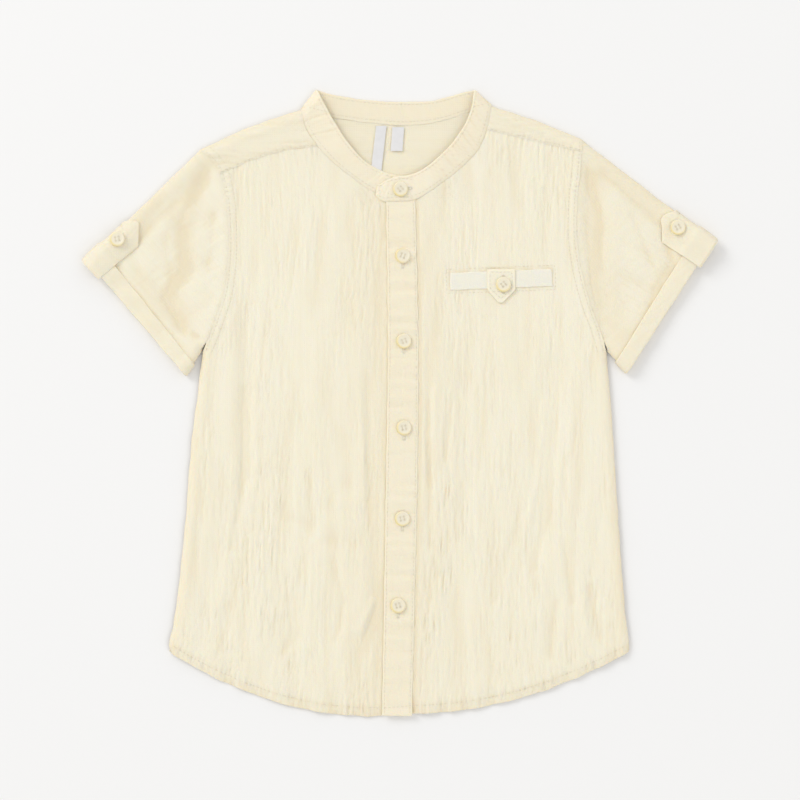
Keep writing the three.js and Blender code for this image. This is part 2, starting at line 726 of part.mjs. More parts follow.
// Cuff rows from its upper edge to the sleeve's end, where it turns inside
const cuffRows = (side) => {
  const width = (across) => cuffWidth(side, across);
  return [
    { fromEnd: (across) => width(across), offset: CUFF_LIFT },
    { fromEnd: (across) => width(across) * 0.5, offset: CUFF_LIFT },
    { fromEnd: () => INSIDE_CUFF, offset: CUFF_LIFT },
    { fromEnd: () => 0.1, offset: CUFF_LIFT * 0.6 },
    { fromEnd: () => 0, offset: -0.4 },
  ];
};

// The buttoned tab, which turns round the cuff's end and round the top fold
function buildSleeveTab(side) {
  const tab = TAB[side];
  const middle = (tab.front - tab.wrap) / 2;
  const half = (tab.front + tab.wrap) / 2;
  const [beside, ramp, low, shoulder, ...point] = tabRows(side);
  const over = 2 * CUFF_LIFT + 0.1;
  const { wrap } = tab;
  const rows = [
    { along: -1.6, offset: 0.6, half, wrap },
    { along: -1.2, offset: 2.2, half, wrap },
    { along: INSIDE_CUFF - 1, offset: over, half, wrap },
    { along: INSIDE_CUFF, offset: over, half, wrap },
    { along: CUFF[side].top * 0.5, offset: over, half, wrap },
    { along: beside, offset: over, half, wrap },
    { along: ramp, offset: TAB_OFFSET + 0.3, half, wrap },
    { along: low, offset: TAB_OFFSET, half, wrap },
    { along: shoulder, offset: TAB_OFFSET, half, wrap },
    ...TAB_POINT.map((row, k) => ({
      along: point[k], offset: TAB_OFFSET + 0.8, half: half * (1 - 0.88 * row.at), wrap: row.wrap,
    })),
  ];
  const places = [
    ...tabSteps(side, 1).reverse(), ...tabSteps(side, -1).slice(1).map((d) => -d),
  ];
  const sheet = new Sheet();
  sheet.grid(places.length - 1, rows.length - 1, (i, j) => {
    const row = rows[j];
    const { along, offset } = row;
    const lowest = Math.max(middle - row.half, -row.wrap);
    const place = Math.min(middle + row.half, Math.max(lowest, places[i]));
    const layer = place >= 0 ? 1 : -1;
    const across = Math.abs(place) < 0.02 ? 0 : Math.abs(place) / sleeveWidth(side, along);
    return sleevePoint(side, layer, along, across, offset);
  }, side === "right");
  return sheet.wall(CLOTH);
}

// Where the collar is cut into sections, closest where it folds over at the shoulders
const COLLAR_STEPS = {
  under: [0, 1, 2, 3, 4, 5, 6, 6.5, 6.75, 6.9, 6.97, 7],
  back: [0, 0.03, 0.1, 0.25, 0.6, 1, 2, 3, 4, 5, 5.4, 5.75, 5.9, 5.97, 6],
  over: [0, 0.03, 0.1, 0.25, 0.5, 1, 2, 3, 4, 4.5, 5, 6, 7, 7.5, 8],
};

// The collar band, flattened with its ends lapped at the front
function buildCollar() {
  const spans = [
    { rows: COLLAR_UNDER, layer: 1, side: "right", steps: COLLAR_STEPS.under },
    { rows: COLLAR_BACK, layer: -1, side: "left", steps: COLLAR_STEPS.back },
    { rows: COLLAR_OVER, layer: 1, side: "left", steps: COLLAR_STEPS.over },
  ];
  const sections = [];
  for (const { rows, layer, side, steps } of spans) {
    const through = (key) => new THREE.CatmullRomCurve3(
      rows.map((row) => new THREE.Vector3(...row[key], 0)), false, "centripetal",
    );
    const [seam, top] = [through("seam"), through("top")];
    for (const step of steps) {
      const t = step / (rows.length - 1);
      const ends = [seam.getPoint(t), top.getPoint(t)];
      const onFold = ends[1].distanceTo(new THREE.Vector3(...COLLAR_TIP.right, 0)) < 0.01 ||
        ends[1].distanceTo(new THREE.Vector3(...COLLAR_TIP.left, 0)) < 0.01;
      sections.push({ ends, layer, side, onFold });
    }
  }
  const unique = sections.filter((s, i) => i === 0 || s.ends[0].distanceTo(sections[i - 1].ends[0]) > 0.01);
  const rows = 3;
  const sheet = new Sheet();
  sheet.grid(unique.length - 1, rows, (i, j) => {
    const { ends, layer, side, onFold } = unique[i];
    const v = j / rows;
    const point = ends[0].clone().lerp(ends[1], v);
    const { distance } = nearestFold(point.x, point.y);
    if (onFold) return [point.x, point.y, FOLD_MID];
    if (layer < 0) return [point.x, point.y, lowerHeight(point.x, point.y) + (BAND - CLOTH) / 2];
    const away = (point.x - COLLAR_ENDS[side]) * sideOf(side);
    const lapped = side === "right" ? LAPPED : lerp(LAPPED_MOST, LAPPED, smooth(away / STEP_DOWN));
    const rise = BAND_RISE * v * smooth(away / BAND_FADE) * smooth(distance / FOLD_REACH);
    return [point.x, point.y, upperHeight(point.x, point.y, side) + lapped + rise];
  }, true);
  return sheet.wall(BAND);
}

// The placket strip over the middle of the front
function buildPlacket() {
  const rows = 24;
  const sheet = new Sheet();
  const edge = (key) => curve(PLACKET.map((row) => [row[key], row.y]));
  const [left, right] = [edge("left"), edge("right")];
  sheet.grid(2, rows, (i, j) => {
    const [x, y] = mix(left(1 - j / rows), right(1 - j / rows), i / 2);
    return [x, y, PLACKET_MID];
  });
  return sheet.wall(BAND);
}

// A flat strip that lies on the wearer's left front
function weltPoint(u, v) {
  const [across, up] = [(u - 0.5) * WELT.length, (v - 0.5) * WELT.width];
  const [c, s] = [Math.cos(WELT.turn), Math.sin(WELT.turn)];
  return [WELT.x + across * c - up * s, WELT.y + across * s + up * c];
}
const WELT_WALL = 1.4;
const WELT_LIFT = CLOTH / 2 + GAP + WELT_WALL / 2;
function buildWelt() {
  const sheet = new Sheet();
  sheet.grid(14, 3, (i, j) => {
    const [x, y] = weltPoint(i / 14, j / 3);
    return [x, y, upperHeight(x, y, "left") + WELT_LIFT];
  });
  return sheet.wall(WELT_WALL);
}

// The pointed tab that buttons over the welt
const TAB_LIFT = WELT_LIFT + WELT_WALL / 2 + GAP + CLOTH / 2;
function pocketTabHeight(x, y) {
  const below = WELT.y - WELT.width / 2 - 1.2 - y;
  return upperHeight(x, y, "left") + lerp(TAB_LIFT, CLOTH + GAP + 0.2, smooth(below / 8));
}
function buildPocketTab() {
  const rows = [
    { y: POCKET_TAB.top, half: 0.5 }, { y: 96, half: 0.5 }, { y: 92, half: 0.5 }, { y: 88, half: 0.5 },
    { y: POCKET_TAB.shoulder, half: 0.5 }, { y: 81, half: 0.36 }, { y: 78, half: 0.2 },
    { y: POCKET_TAB.tip, half: 0.04 },
  ];
  const sheet = new Sheet();
  sheet.grid(4, rows.length - 1, (i, j) => {
    const { y, half } = rows[rows.length - 1 - j];
    const x = POCKET_TAB.x + POCKET_TAB.width * half * (i / 2 - 1);
    return [x, y, pocketTabHeight(x, y)];
  });
  return sheet.wall(CLOTH);
}

// A label sewn in at the back neck seam, lying on the inside of the yoke
function buildLabel({ top, bottom, width }) {
  const rows = 5;
  const sheet = new Sheet();
  sheet.grid(2, rows, (i, j) => {
    const [x, y] = mix(bottom, top, j / rows);
    return [x + (i / 2 - 0.5) * width, y, BACK_MID + CLOTH / 2 + GAP + RIBBON / 2];
  });
  return sheet.wall(RIBBON);
}

const solid = (geometry) => {
  geometry.deleteAttribute("normal");
  geometry.deleteAttribute("uv");
  const merged = mergeVertices(geometry, 1e-4);
  return new wasm.Manifold(new wasm.Mesh({
    numProp: 3,
    vertProperties: merged.attributes.position.array,
    triVerts: new Uint32Array(merged.index.array),
  }));
};

// A four-hole button with a raised rim
function buildButton() {
  const radius = BUTTON_DIAMETER / 2;
  const profile = [
    [0, 0], [radius - 1.2, 0], [radius, 0.9], [radius, 1.7], [radius - 0.7, BUTTON_THICKNESS],
    [radius - 1.5, 1.9], [0, 1.6],
  ].map(([r, z]) => new THREE.Vector2(r, z));
  const disc = new THREE.LatheGeometry(profile, 14).rotateX(Math.PI / 2);
  let button = solid(disc);
  for (const [x, y] of [[1, 1], [-1, 1], [-1, -1], [1, -1]]) {
    const drill = new THREE.CylinderGeometry(BUTTON_HOLE / 2, BUTTON_HOLE / 2, 6, 5)
      .rotateX(Math.PI / 2)
      .translate((x * BUTTON_HOLE_SPACING) / 2, (y * BUTTON_HOLE_SPACING) / 2, 0);
    button = button.subtract(solid(drill));
  }
  const mesh = button.getMesh();
  const geometry = new THREE.BufferGeometry();
  geometry.setAttribute("position", new THREE.BufferAttribute(mesh.vertProperties, 3));
  geometry.setIndex(new THREE.BufferAttribute(mesh.triVerts, 1));
  return geometry.toNonIndexed();
}
const buttonGeometry = buildButton();
buttonGeometry.computeVertexNormals();

// Places a button on the cloth, with its face along the normal there
function addButton(name, place, normal) {
  const button = addPiece(name, buttonGeometry, resin);
  button.position.set(...place);
  button.quaternion.setFromUnitVectors(new THREE.Vector3(0, 0, 1), normal);
}

addPiece("back", buildBack(), gauze);
addPiece("yoke", buildYoke(), gauze);
addPiece("front_right", buildFront("right"), gauze);
addPiece("front_left", buildFront("left"), gauze);
addPiece("placket", buildPlacket(), poplin);
addPiece("collar", buildCollar(), poplin);
for (const side of ["right", "left"]) {
  addPiece("sleeve_" + side, sleeveRings(side, sleeveRows(side), CLOTH), gauze);
  addPiece("cuff_" + side, sleeveRings(side, cuffRows(side), CLOTH), gauze);
  addPiece("sleeve_tab_" + side, buildSleeveTab(side), poplin);
}
addPiece("pocket_welt", buildWelt(), poplin);
addPiece("pocket_tab", buildPocketTab(), poplin);
for (const label of LABELS) addPiece(label.name, buildLabel(label), satin);

const up = new THREE.Vector3(0, 0, 1);
for (const { name, x, y } of FRONT_BUTTONS) {
  const under = name === "button_collar" ? PLACKET_MID + 0.5 : PLACKET_MID;
  addButton(name, [x, y, under + BAND / 2 + GAP], up);
}
const pocketTop = pocketTabHeight(POCKET_BUTTON.x, POCKET_BUTTON.y) + CLOTH / 2 + GAP;
addButton("button_pocket", [POCKET_BUTTON.x, POCKET_BUTTON.y, pocketTop], up);
for (const side of ["right", "left"]) {
  const { buttonAlong, buttonIn } = TAB[side];
  const across = buttonIn / sleeveWidth(side, buttonAlong);
  const at = (offset) => new THREE.Vector3(...sleevePoint(side, 1, buttonAlong, across, offset));
  const seat = at(TAB_OFFSET + CLOTH / 2 + BUTTON_SEAT);
  const normal = seat.clone().sub(at(0)).normalize().add(up).normalize();
  addButton("button_sleeve_" + side, seat.toArray(), normal);
}

export default shirt;
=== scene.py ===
"""A child's short-sleeved band-collar shirt in crinkled cream double gauze, laid flat on its back.

Lengths are millimetres in the shirt's own frame until a mesh is made: +X is the wearer's left, +Y runs
up to the collar, and +Z is up off the surface.
"""
import math

import bmesh
import bpy
import numpy as np
from mathutils import Matrix, Vector
from mathutils.bvhtree import BVHTree


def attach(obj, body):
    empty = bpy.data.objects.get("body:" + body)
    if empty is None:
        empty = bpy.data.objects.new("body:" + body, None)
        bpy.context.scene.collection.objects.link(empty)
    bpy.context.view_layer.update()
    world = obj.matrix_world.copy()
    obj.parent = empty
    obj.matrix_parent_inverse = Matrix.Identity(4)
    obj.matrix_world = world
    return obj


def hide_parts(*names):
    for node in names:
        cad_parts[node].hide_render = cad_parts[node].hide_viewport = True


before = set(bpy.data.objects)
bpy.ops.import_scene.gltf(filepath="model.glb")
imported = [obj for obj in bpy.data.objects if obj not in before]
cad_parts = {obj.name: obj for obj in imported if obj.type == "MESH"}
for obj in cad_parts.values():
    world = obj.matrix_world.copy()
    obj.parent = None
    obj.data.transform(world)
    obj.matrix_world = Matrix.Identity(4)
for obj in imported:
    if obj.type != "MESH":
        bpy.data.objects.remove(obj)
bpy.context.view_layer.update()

MM = 0.001

# Walls and the heights of their middles, as in the solids. LOFT is the air under the upper layer.
CLOTH = 1.2
BAND = 1.8
RIBBON = 0.5
BACK_MID = CLOTH / 2
FRONT_MID = BACK_MID + CLOTH + 0.4
PLACKET_MID = FRONT_MID + CLOTH / 2 + 0.4 + BAND / 2
FOLD_MID = 2.3
FOLD_RISE = 2.6
FOLD_REACH = 6.0
FOLD_RUN_OUT = 8.0
UNDER_REACH = 3.0
SETTLE = 14.0
LOFT = 0.9
LOFT_FADE = 18.0
CUFF_LIFT = CLOTH + 0.3
CUFF_FADE = 15.0
BAND_RISE = 2.6
COLLAR_WIDTH = 17.0
PLACKET_WIDTH = 24.0
CUFF_WIDTH = 14.0

# How far one piece runs on under or over another, where the solids leave a gap at the seam
SLEEVE_SEAM = -0.6
UNDERARM_GAP = 1.3
UNDERARM_ZONE = 0.08
UNDER_PLACKET = 1.4
YOKE_LAP = 0.9
COLLAR_LAP = 0.9
PLACKET_LAP = 0.2
PLACKET_UNDER_COLLAR = 2.6

# Seams and folded edges, each a smooth line through its rows of x and y
SIDE = {
    "right": [(-171, -189), (-173, -182.5), (-169.4, -166), (-163.4, -118), (-159.9, -82),
              (-156.4, -34), (-152.4, -2), (-147.4, 38.5)],
    "left": [(171, -188), (171.8, -183), (169.4, -166), (165.4, -118), (162.9, -82),
             (159.9, -34), (156.9, 8), (154.4, 38)],
}
ARMHOLE = {
    "right": [(-147.4, 38.5), (-139, 60), (-132, 83), (-129, 110.5), (-129, 133),
              (-131, 155.5), (-137, 176), (-149.6, 189)],
    "left": [(154.4, 38), (150, 54), (142.5, 74.5), (136, 99.5), (132.5, 125.5),
             (133, 152), (135.5, 176.5), (136.7, 196.4)],
}
SHOULDER = {
    "right": [(-149.6, 189), (-114, 205.4), (-74.2, 219)],
    "left": [(136.7, 196.4), (100, 211.4), (68.6, 221.4)],
}
NECK_FRONT = {
    "right": [(9, 150), (-4, 152), (-17, 156.5), (-30, 164), (-50, 179.5),
              (-65, 196), (-71, 206), (-74.2, 219)],
    "left": [(12, 151.5), (32, 164.5), (50, 179.5), (60, 191.5), (66, 208), (68.6, 221.4)],
}
NECK_BACK = [
    (-74.2, 219), (-49, 213.5), (-19, 209.5), (4, 208), (30, 211), (51, 217.5), (68.6, 221.4),
]
CENTRE_EDGE = {
    "right": [(9, -234), (9, -40), (9, 150)],
    "left": [(9.4, -234), (13.8, -50), (14.3, 50), (12, 151.5)],
}
CUFF_END = {
    "right": {"top": (-235.6, 105), "under": (-162.2, 19.4)},
    "left": {"top": (235.7, 119.6), "under": (171.8, 21.5)},
}
COLLAR_TIP = {"right": (-62.5, 234.4), "left": (55.8, 234.4)}
YOKE = {
    "right": {"armhole": 0.85, "neck": 0.729, "bow": 4.3},
    "left": {"armhole": 0.944, "neck": 0.811, "bow": 0.0},
}
YOKE_BACK = {"right": 0.765, "left": 0.758}
HEM_BOW = {"right": 17.0, "left": 11.6}
HEM_WIDTH = 6.5
BACK_HEM_SHORTER = 2.0
CUFF = {"right": {"top": 15.4, "under": 12.0}, "left": {"top": 15.0, "under": 13.4}}
TAB = {
    "right": {"tip": 49, "shoulder": 37, "front": 16, "wrap": 7, "button_along": 29.2, "button_in": 4.4},
    "left": {"tip": 43, "shoulder": 33, "front": 22, "wrap": 6, "button_along": 29.2, "button_in": 7.2},
}

# Collar band sections: a point on the neck seam, and the point above it on the top edge
COLLAR_UNDER = [
    ((10.5, 150.6), (10, 169)), ((-2, 152.4), (0, 170)), ((-17, 157.1), (-9.5, 172)),
    ((-30, 164.6), (-20, 176.5)), ((-50, 180.2), (-35, 189.5)), ((-64.6, 196.6), (-47, 206.5)),
    ((-70.6, 206.6), (-54, 219)), ((-73.8, 220.1), COLLAR_TIP["right"]),
]
COLLAR_BACK = [
    ((-73.8, 220.1), COLLAR_TIP["right"]), ((-49, 214.0), (-43, 229.3)), ((-19, 210.0), (-16, 226.2)),
    ((4, 208.5), (4, 225.5)), ((30, 211.5), (27, 226.8)), ((51, 218.0), (42, 231)),
    ((68.2, 222.5), COLLAR_TIP["left"]),
]
COLLAR_OVER = [
    ((68.2, 222.5), COLLAR_TIP["left"]), ((65.6, 208.6), (52.5, 217)), ((59.6, 192.1), (45, 202)),
    ((49.6, 180.1), (35, 189.5)), ((31.7, 165.2), (20, 176.5)), ((12, 153), (7.5, 170.5)),
    ((-6, 151.2), (-5, 168.5)), ((-13.6, 151.6), (-12, 165.2)), ((-18, 156), (-17.4, 161)),
]

# Placket strip sections: y, left edge, right edge
PLACKET = [
    (150, -10.5, 11.4), (50, -9, 13.6), (-50, -10.4, 13.1), (-150, -12, 10.9), (-235.4, -13.5, 8.7),
]

# Buttons down the front: name and middle
FRONT_BUTTONS = [
    ("button_collar", 0.4, 159.6), ("button_1", 2.1, 109.7), ("button_2", 3, 45.7),
    ("button_3", 3, -19.3), ("button_4", 1.8, -87.4), ("button_5", -1.4, -152.5),
]
WELT = {"x": 75.75, "y": 92, "length": 76.5, "width": 13, "turn": math.radians(2.2)}
POCKET_TAB = {"x": 75.75, "top": 99.6, "shoulder": 84.5, "tip": 74.5, "width": 21}
POCKET_BUTTON = (77.5, 88.1)

# Labels: name, middle of the top end, middle of the free end, width
LABELS = [
    ("label_long", (-14, 207.4), (-18.0, 172.6), 8),
    ("label_short", (-1.2, 206.4), (-2.6, 188.5), 9),
]

# Folds of the upper layer: height (a valley is negative), width, line
FOLDS = [
    (-1.3, 6, [(-112.5, 70), (-114, 10), (-116, -55)]),
    (0.9, 6, [(-127, 60), (-125, 0), (-123, -58)]),
    (-0.9, 5, [(-139, 47), (-144, 13)]),
    (-0.6, 6, [(-22, -159), (-34, -208), (-37, -223)]),
    (-0.8, 7, [(-82, -133), (-75, -178)]),
    (-0.6, 6, [(-86, -80), (-60, -103), (-34, -107)]),
    (-0.9, 7, [(-142, -110), (-150, -182)]),
    (0.7, 9, [(-60, 60), (-64, -40)]),
    (0.6, 9, [(-100, -120), (-108, -190)]),
    (-1.1, 11, [(116, 24), (105, -73), (94, -110), (75, -140)]),
    (0.8, 9, [(132, 20), (128, -70), (120, -120)]),
    (-0.9, 6, [(142, -129), (153, -182)]),
    (0.7, 7, [(30, 40), (31, -118)]),
    (-0.7, 6, [(48, 20), (50, -90)]),
    (0.6, 9, [(66, -150), (60, -210)]),
    (-0.9, 6, [(-148, 160), (-158, 122), (-158, 96), (-173, 73), (-166, 56)]),
    (-0.7, 6, [(-164, 166), (-200, 118)]),
    (0.6, 7, [(-182, 140), (-190, 90)]),
    (-1.1, 7, [(143, 168), (147, 122), (154, 60)]),
    (-0.8, 6, [(199, 126), (204, 103), (187, 73)]),
    (0.6, 8, [(166, 150), (180, 100)]),
]

# Finer creases that only show close to, in the same form
CREASES = [
    (-1.0, 4.5, [(-145.5, 166), (-165.8, 137.6), (-165.8, 116), (-159.8, 100), (-177, 77.6)]),
    (0.8, 5.0, [(-156, 142), (-152, 112)]), (-0.9, 3.5, [(-172, 69.8), (-162.7, 52.4)]),
    (-0.8, 3.0, [(-156, 51), (-148, 46)]), (-0.7, 4.0, [(-140, 176), (-165, 152), (-196, 122)]),
    (-1.2, 4.5, [(139, 178), (143, 160), (151.5, 137.6), (148.5, 116), (144, 90), (154.7, 44)]),
    (0.8, 5.0, [(158, 156), (163, 128), (160, 96)]), (-0.7, 4.5, [(152, 172), (180, 146), (196, 134)]),
    (-0.9, 3.6, [(199, 125), (205, 103), (196, 93), (189.5, 71.6), (186, 50)]),
    (0.6, 4.0, [(206, 90), (198, 66)]),
    (-0.9, 3.2, [(-117, 10), (-115.5, -45), (-121, -80), (-126, -110)]),
    (0.6, 3.0, [(-109, 20), (-108, -50)]),
    (-1.0, 3.2, [(-15.8, -152), (-22, -175), (-28.5, -190)]), (0.6, 3.0, [(-21, -150), (-29, -172)]),
    (-0.7, 3.0, [(-82, -148), (-79, -175), (-88, -188)]),
    (-0.6, 2.6, [(-50, -120), (-42, -150), (-48, -178)]),
    (-0.7, 3.0, [(117, -16), (112, -80), (100, -124)]), (-0.6, 3.0, [(125, -40), (122, -100), (129, -150)]),
    (0.5, 3.0, [(108, 0), (103, -60), (90, -110)]), (-0.7, 3.0, [(142, -139), (150, -176)]),
    (-0.7, 2.6, [(39, 2), (34, -42)]), (-0.6, 2.5, [(21, 0), (22, -62)]), (0.5, 2.5, [(26, 10), (26, -70)]),
    (-0.6, 2.6, [(-24, 20), (-22, -50)]), (0.5, 2.6, [(-30, 0), (-27, -70)]),
    (-0.6, 3.0, [(86, -100), (70, -150)]),
    (-0.5, 2.6, [(-13.5, 99), (-14.5, 70)]), (0.4, 3.0, [(-19, 102), (-20, 62)]),
    (-0.5, 3.0, [(-14, -158), (-24, -176), (-30, -196)]), (0.4, 3.2, [(-18, -150), (-30, -168), (-42, -176)]),
    (-0.4, 3.0, [(20, 60), (21, -20)]), (-0.5, 3.2, [(24, -30), (23, -108)]),
    (0.4, 3.2, [(39, 30), (41, -70)]),
    (-0.3, 4.4, [(-40, -60), (-66, -92), (-92, -84)]), (0.4, 3.5, [(-50, -90), (-72, -112)]),
    (-0.5, 3.5, [(-128, -150), (-134, -186)]), (0.4, 3.5, [(-118, -140), (-124, -180)]),
    (-0.5, 3.5, [(118, -150), (112, -190)]), (0.4, 4.0, [(134, -140), (142, -180)]),
    (-0.4, 3.5, [(88, 60), (92, 10)]), (0.4, 4.0, [(100, 70), (104, 20)]),
    (-0.5, 3.0, [(-151, 26), (-153, -8)]), (0.4, 3.0, [(-146, 30), (-149, 0)]),
    (-0.6, 3.0, [(138, 150), (141, 110), (147, 74)]), (0.5, 3.5, [(152, 140), (156, 100), (162, 70)]),
    (-0.5, 3.0, [(174, 140), (192, 96)]), (-0.5, 3.0, [(-168, 150), (-176, 120), (-172, 92)]),
    (0.4, 3.0, [(-196, 112), (-180, 70)]), (-0.4, 3.0, [(-140, 140), (-144, 100)]),
]

rng = np.random.default_rng(4)
SIDES = ("right", "left")


def turn_of(side):
    """-1 on the wearer's right, where x is negative, and 1 on the left."""
    return -1.0 if side == "right" else 1.0


def smooth(value):
    t = np.clip(value, 0.0, 1.0)
    return t * t * (3 - 2 * t)


def lerp(a, b, t):
    return a + (b - a) * t


def bell(distance, reach):
    """1 at no distance, falling off smoothly over the reach."""
    return np.exp(-((distance / reach) ** 2))


def through(rows):
    """The smooth centripetal line through rows, as a function of the row number."""
    points = np.array(rows, float)
    padded = np.vstack([2 * points[0] - points[1], points, 2 * points[-1] - points[-2]])

    def at(step):
        step = np.atleast_1d(np.clip(step, 0, len(points) - 1 - 1e-9))
        i = step.astype(int)
        t = (step - i)[:, None]
        p0, p1, p2, p3 = (padded[i + k] for k in range(4))
        pairs = ((p0, p1), (p1, p2), (p2, p3))
        d0, d1, d2 = (np.sqrt(np.linalg.norm(b - a, axis=1, keepdims=True)) for a, b in pairs)
        m1 = ((p1 - p0) / d0 - (p2 - p0) / (d0 + d1) + (p2 - p1) / d1) * d1
        m2 = ((p2 - p1) / d1 - (p3 - p1) / (d1 + d2) + (p3 - p2) / d2) * d1
        a = 2 * p1 - 2 * p2 + m1 + m2
        b = -3 * p1 + 3 * p2 - 2 * m1 - m2
        return ((a * t + b) * t + m1) * t + p1

    return at


def curve(rows):
    """The same line, read at a fraction of its length."""
    samples = through(rows)(np.linspace(0, len(rows) - 1, 1201))
    lengths = np.r_[0, np.cumsum(np.linalg.norm(np.diff(samples, axis=0), axis=1))]
    lengths /= lengths[-1]

    def at(fraction):
        f = np.clip(np.asarray(fraction, float), 0, 1)
        return np.stack([np.interp(f, lengths, samples[:, k]) for k in range(2)], -1)

    return at


LINES = {
    side: {
        "side": curve(SIDE[side]), "armhole": curve(ARMHOLE[side]), "shoulder": curve(SHOULDER[side]),
        "neck": curve(NECK_FRONT[side]), "centre": curve(CENTRE_EDGE[side]),
    }
    for side in SIDES
}
neck_back = curve(NECK_BACK)


def sleeve_frame(side, across):
    """Start at the armhole and end at the cuff of the sleeve's lines, across from fold to fold."""
    across = np.asarray(across, float)
    armhole = LINES[side]["armhole"]
    behind, before = armhole(1 - across + 0.01), armhole(1 - across - 0.01)
    along = behind - before
    along /= np.linalg.norm(along, axis=-1, keepdims=True)
    away = np.stack([along[..., 1], -along[..., 0]], -1) * turn_of(side)
    underarm = smooth((across - 1 + UNDERARM_ZONE) / UNDERARM_ZONE)
    gap = lerp(SLEEVE_SEAM, UNDERARM_GAP, underarm)
    start = armhole(1 - across) + away * gap[..., None]
    top, under = (np.array(CUFF_END[side][edge], float) for edge in ("top", "under"))
    end = lerp(top, under, across[..., None])
    return start, end, np.linalg.norm(end - start, axis=-1)


def fold_pieces():
    """Folded edges as straight pieces: starts and ends. Each runs on a little past the cuff."""
    starts, ends = [], []
    for side in SIDES:
        underarm, under, _ = sleeve_frame(side, 1.0)
        run_out = under + (under - underarm) / np.linalg.norm(under - underarm) * FOLD_RUN_OUT
        lower = np.vstack([LINES[side]["side"](np.linspace(0, 1, 33)), underarm, under, run_out])
        top = np.array(CUFF_END[side]["top"], float)
        tip = LINES[side]["armhole"](1.0)
        beyond = top + (top - tip) / np.linalg.norm(top - tip) * FOLD_RUN_OUT
        upper = np.vstack([beyond, top, LINES[side]["shoulder"](np.linspace(0, 1, 17)), COLLAR_TIP[side]])
        for line in (lower, upper):
            starts.append(line[:-1])
            ends.append(line[1:])
    return np.vstack(starts), np.vstack(ends)


FOLD_STARTS, FOLD_ENDS = fold_pieces()


def distance_to(x, y, starts, ends):
    """Distance from each point to the nearest of the straight pieces."""
    points = np.stack([x, y], -1)
    best = np.full(x.shape, np.inf)
    for a, b in zip(starts, ends):
        d = b - a
        t = np.clip(((points - a) @ d) / (d @ d), 0, 1)
        best = np.minimum(best, np.linalg.norm(points - a - t[..., None] * d, axis=-1))
    return best


def fold_distance(x, y):
    """Distance from each point to the nearest folded edge."""
    return distance_to(x, y, FOLD_STARTS, FOLD_ENDS)


def relief(x, y, table):
    """Height of the ridges and valleys of a table at places."""
    height = np.zeros(x.shape)
    for tall, width, line in table:
        points = np.array(line, float)
        near = distance_to(x, y, points[:-1], points[1:])
        height += tall * bell(near, width)
    return height


# Crinkle of the gauze: irregular ridges that run along the grain, as repeating height fields
FIELD_STEP = 0.75
FIELD_SIZE = 1024


def crinkle_field(spacing, length, spread):
    """Unit-deviation noise with ridges about spacing apart across the grain and length long."""
    noise = np.fft.fft2(rng.standard_normal((FIELD_SIZE, FIELD_SIZE)))
    freq = np.fft.fftfreq(FIELD_SIZE, FIELD_STEP)
    along, across = np.meshgrid(freq, freq, indexing="ij")
    ring = bell((np.abs(across) - 1 / spacing) * spacing, spread)
    field = np.fft.ifft2(noise * ring * np.exp(-((along * length) ** 2))).real
    return field / field.std()


FIELDS = {
    "fine": crinkle_field(2.5, 16, 0.5),
    "ridge": crinkle_field(5.2, 24, 0.6),
    "crepe": crinkle_field(6.0, 5.0, 0.9),
    "broad": crinkle_field(24.0, 70, 0.7),
    "patch": crinkle_field(60.0, 60, 0.9),
}


def sample(field, across, along):
    """A field at places in millimetres, interpolated, repeating."""
    u = np.asarray(across) / FIELD_STEP % FIELD_SIZE
    v = np.asarray(along) / FIELD_STEP % FIELD_SIZE
    i, j = v.astype(int) % FIELD_SIZE, u.astype(int) % FIELD_SIZE
    fu, fv = u - np.floor(u), v - np.floor(v)
    i1, j1 = (i + 1) % FIELD_SIZE, (j + 1) % FIELD_SIZE
    grid = FIELDS[field]
    return lerp(lerp(grid[i, j], grid[i, j1], fu), lerp(grid[i1, j], grid[i1, j1], fu), fv)


def crinkle(across, along, amount=1.0):
    """Height of the crinkled gauze at places across and along the grain."""
    lively = 1 + 0.45 * np.clip(sample("patch", across, along), -1.6, 1.6)
    height = 0.095 * sample("fine", across, along) + 0.072 * sample("ridge", across, along)
    height += 0.035 * sample("crepe", across, along)
    return amount * (lively * height + 0.15 * sample("broad", across, along))


# Lower end of the left front's centre edge, and its height in whole millimetres
CENTRE_LOW = -234
CENTRE_TALL = 385


def placket_right(y):
    """The seam of the left front under the placket's right edge, as x at y."""
    t = np.clip((y - CENTRE_LOW) / CENTRE_TALL, 0, 1)
    return LINES["left"]["centre"](t)[..., 0]


def upper_height(x, y, side):
    """Height of the upper layer's middle: it rounds over at the folds and lies on what is under it."""
    distance = fold_distance(x, y)
    peak = FOLD_MID + FOLD_RISE
    near = FOLD_MID + FOLD_RISE * np.sqrt(1 - (1 - np.clip(distance / FOLD_REACH, 0, 1)) ** 2)
    far = FRONT_MID + (peak - FRONT_MID) * np.exp(-np.maximum(distance - FOLD_REACH, 0) / SETTLE)
    rest = np.where(distance < FOLD_REACH, near, far)
    away = x - placket_right(y)
    free = smooth((-15 - x) / LOFT_FADE) if side == "right" else smooth(away / LOFT_FADE)
    step = 0 if side == "right" else (PLACKET_MID - FRONT_MID) * (1 - smooth(away / 26))
    loft = np.maximum(0, LOFT + relief(x, y, FOLDS)) * smooth((distance - FOLD_REACH) / LOFT_FADE)
    return rest + step + loft * free


def lower_height(x, y):
    """Height of the lower layer's middle: flat, rounding up to the folds."""
    distance = fold_distance(x, y)
    rise = np.sqrt(1 - (1 - np.clip(distance / UNDER_REACH, 0, 1)) ** 2)
    return FOLD_MID - (FOLD_MID - BACK_MID) * rise


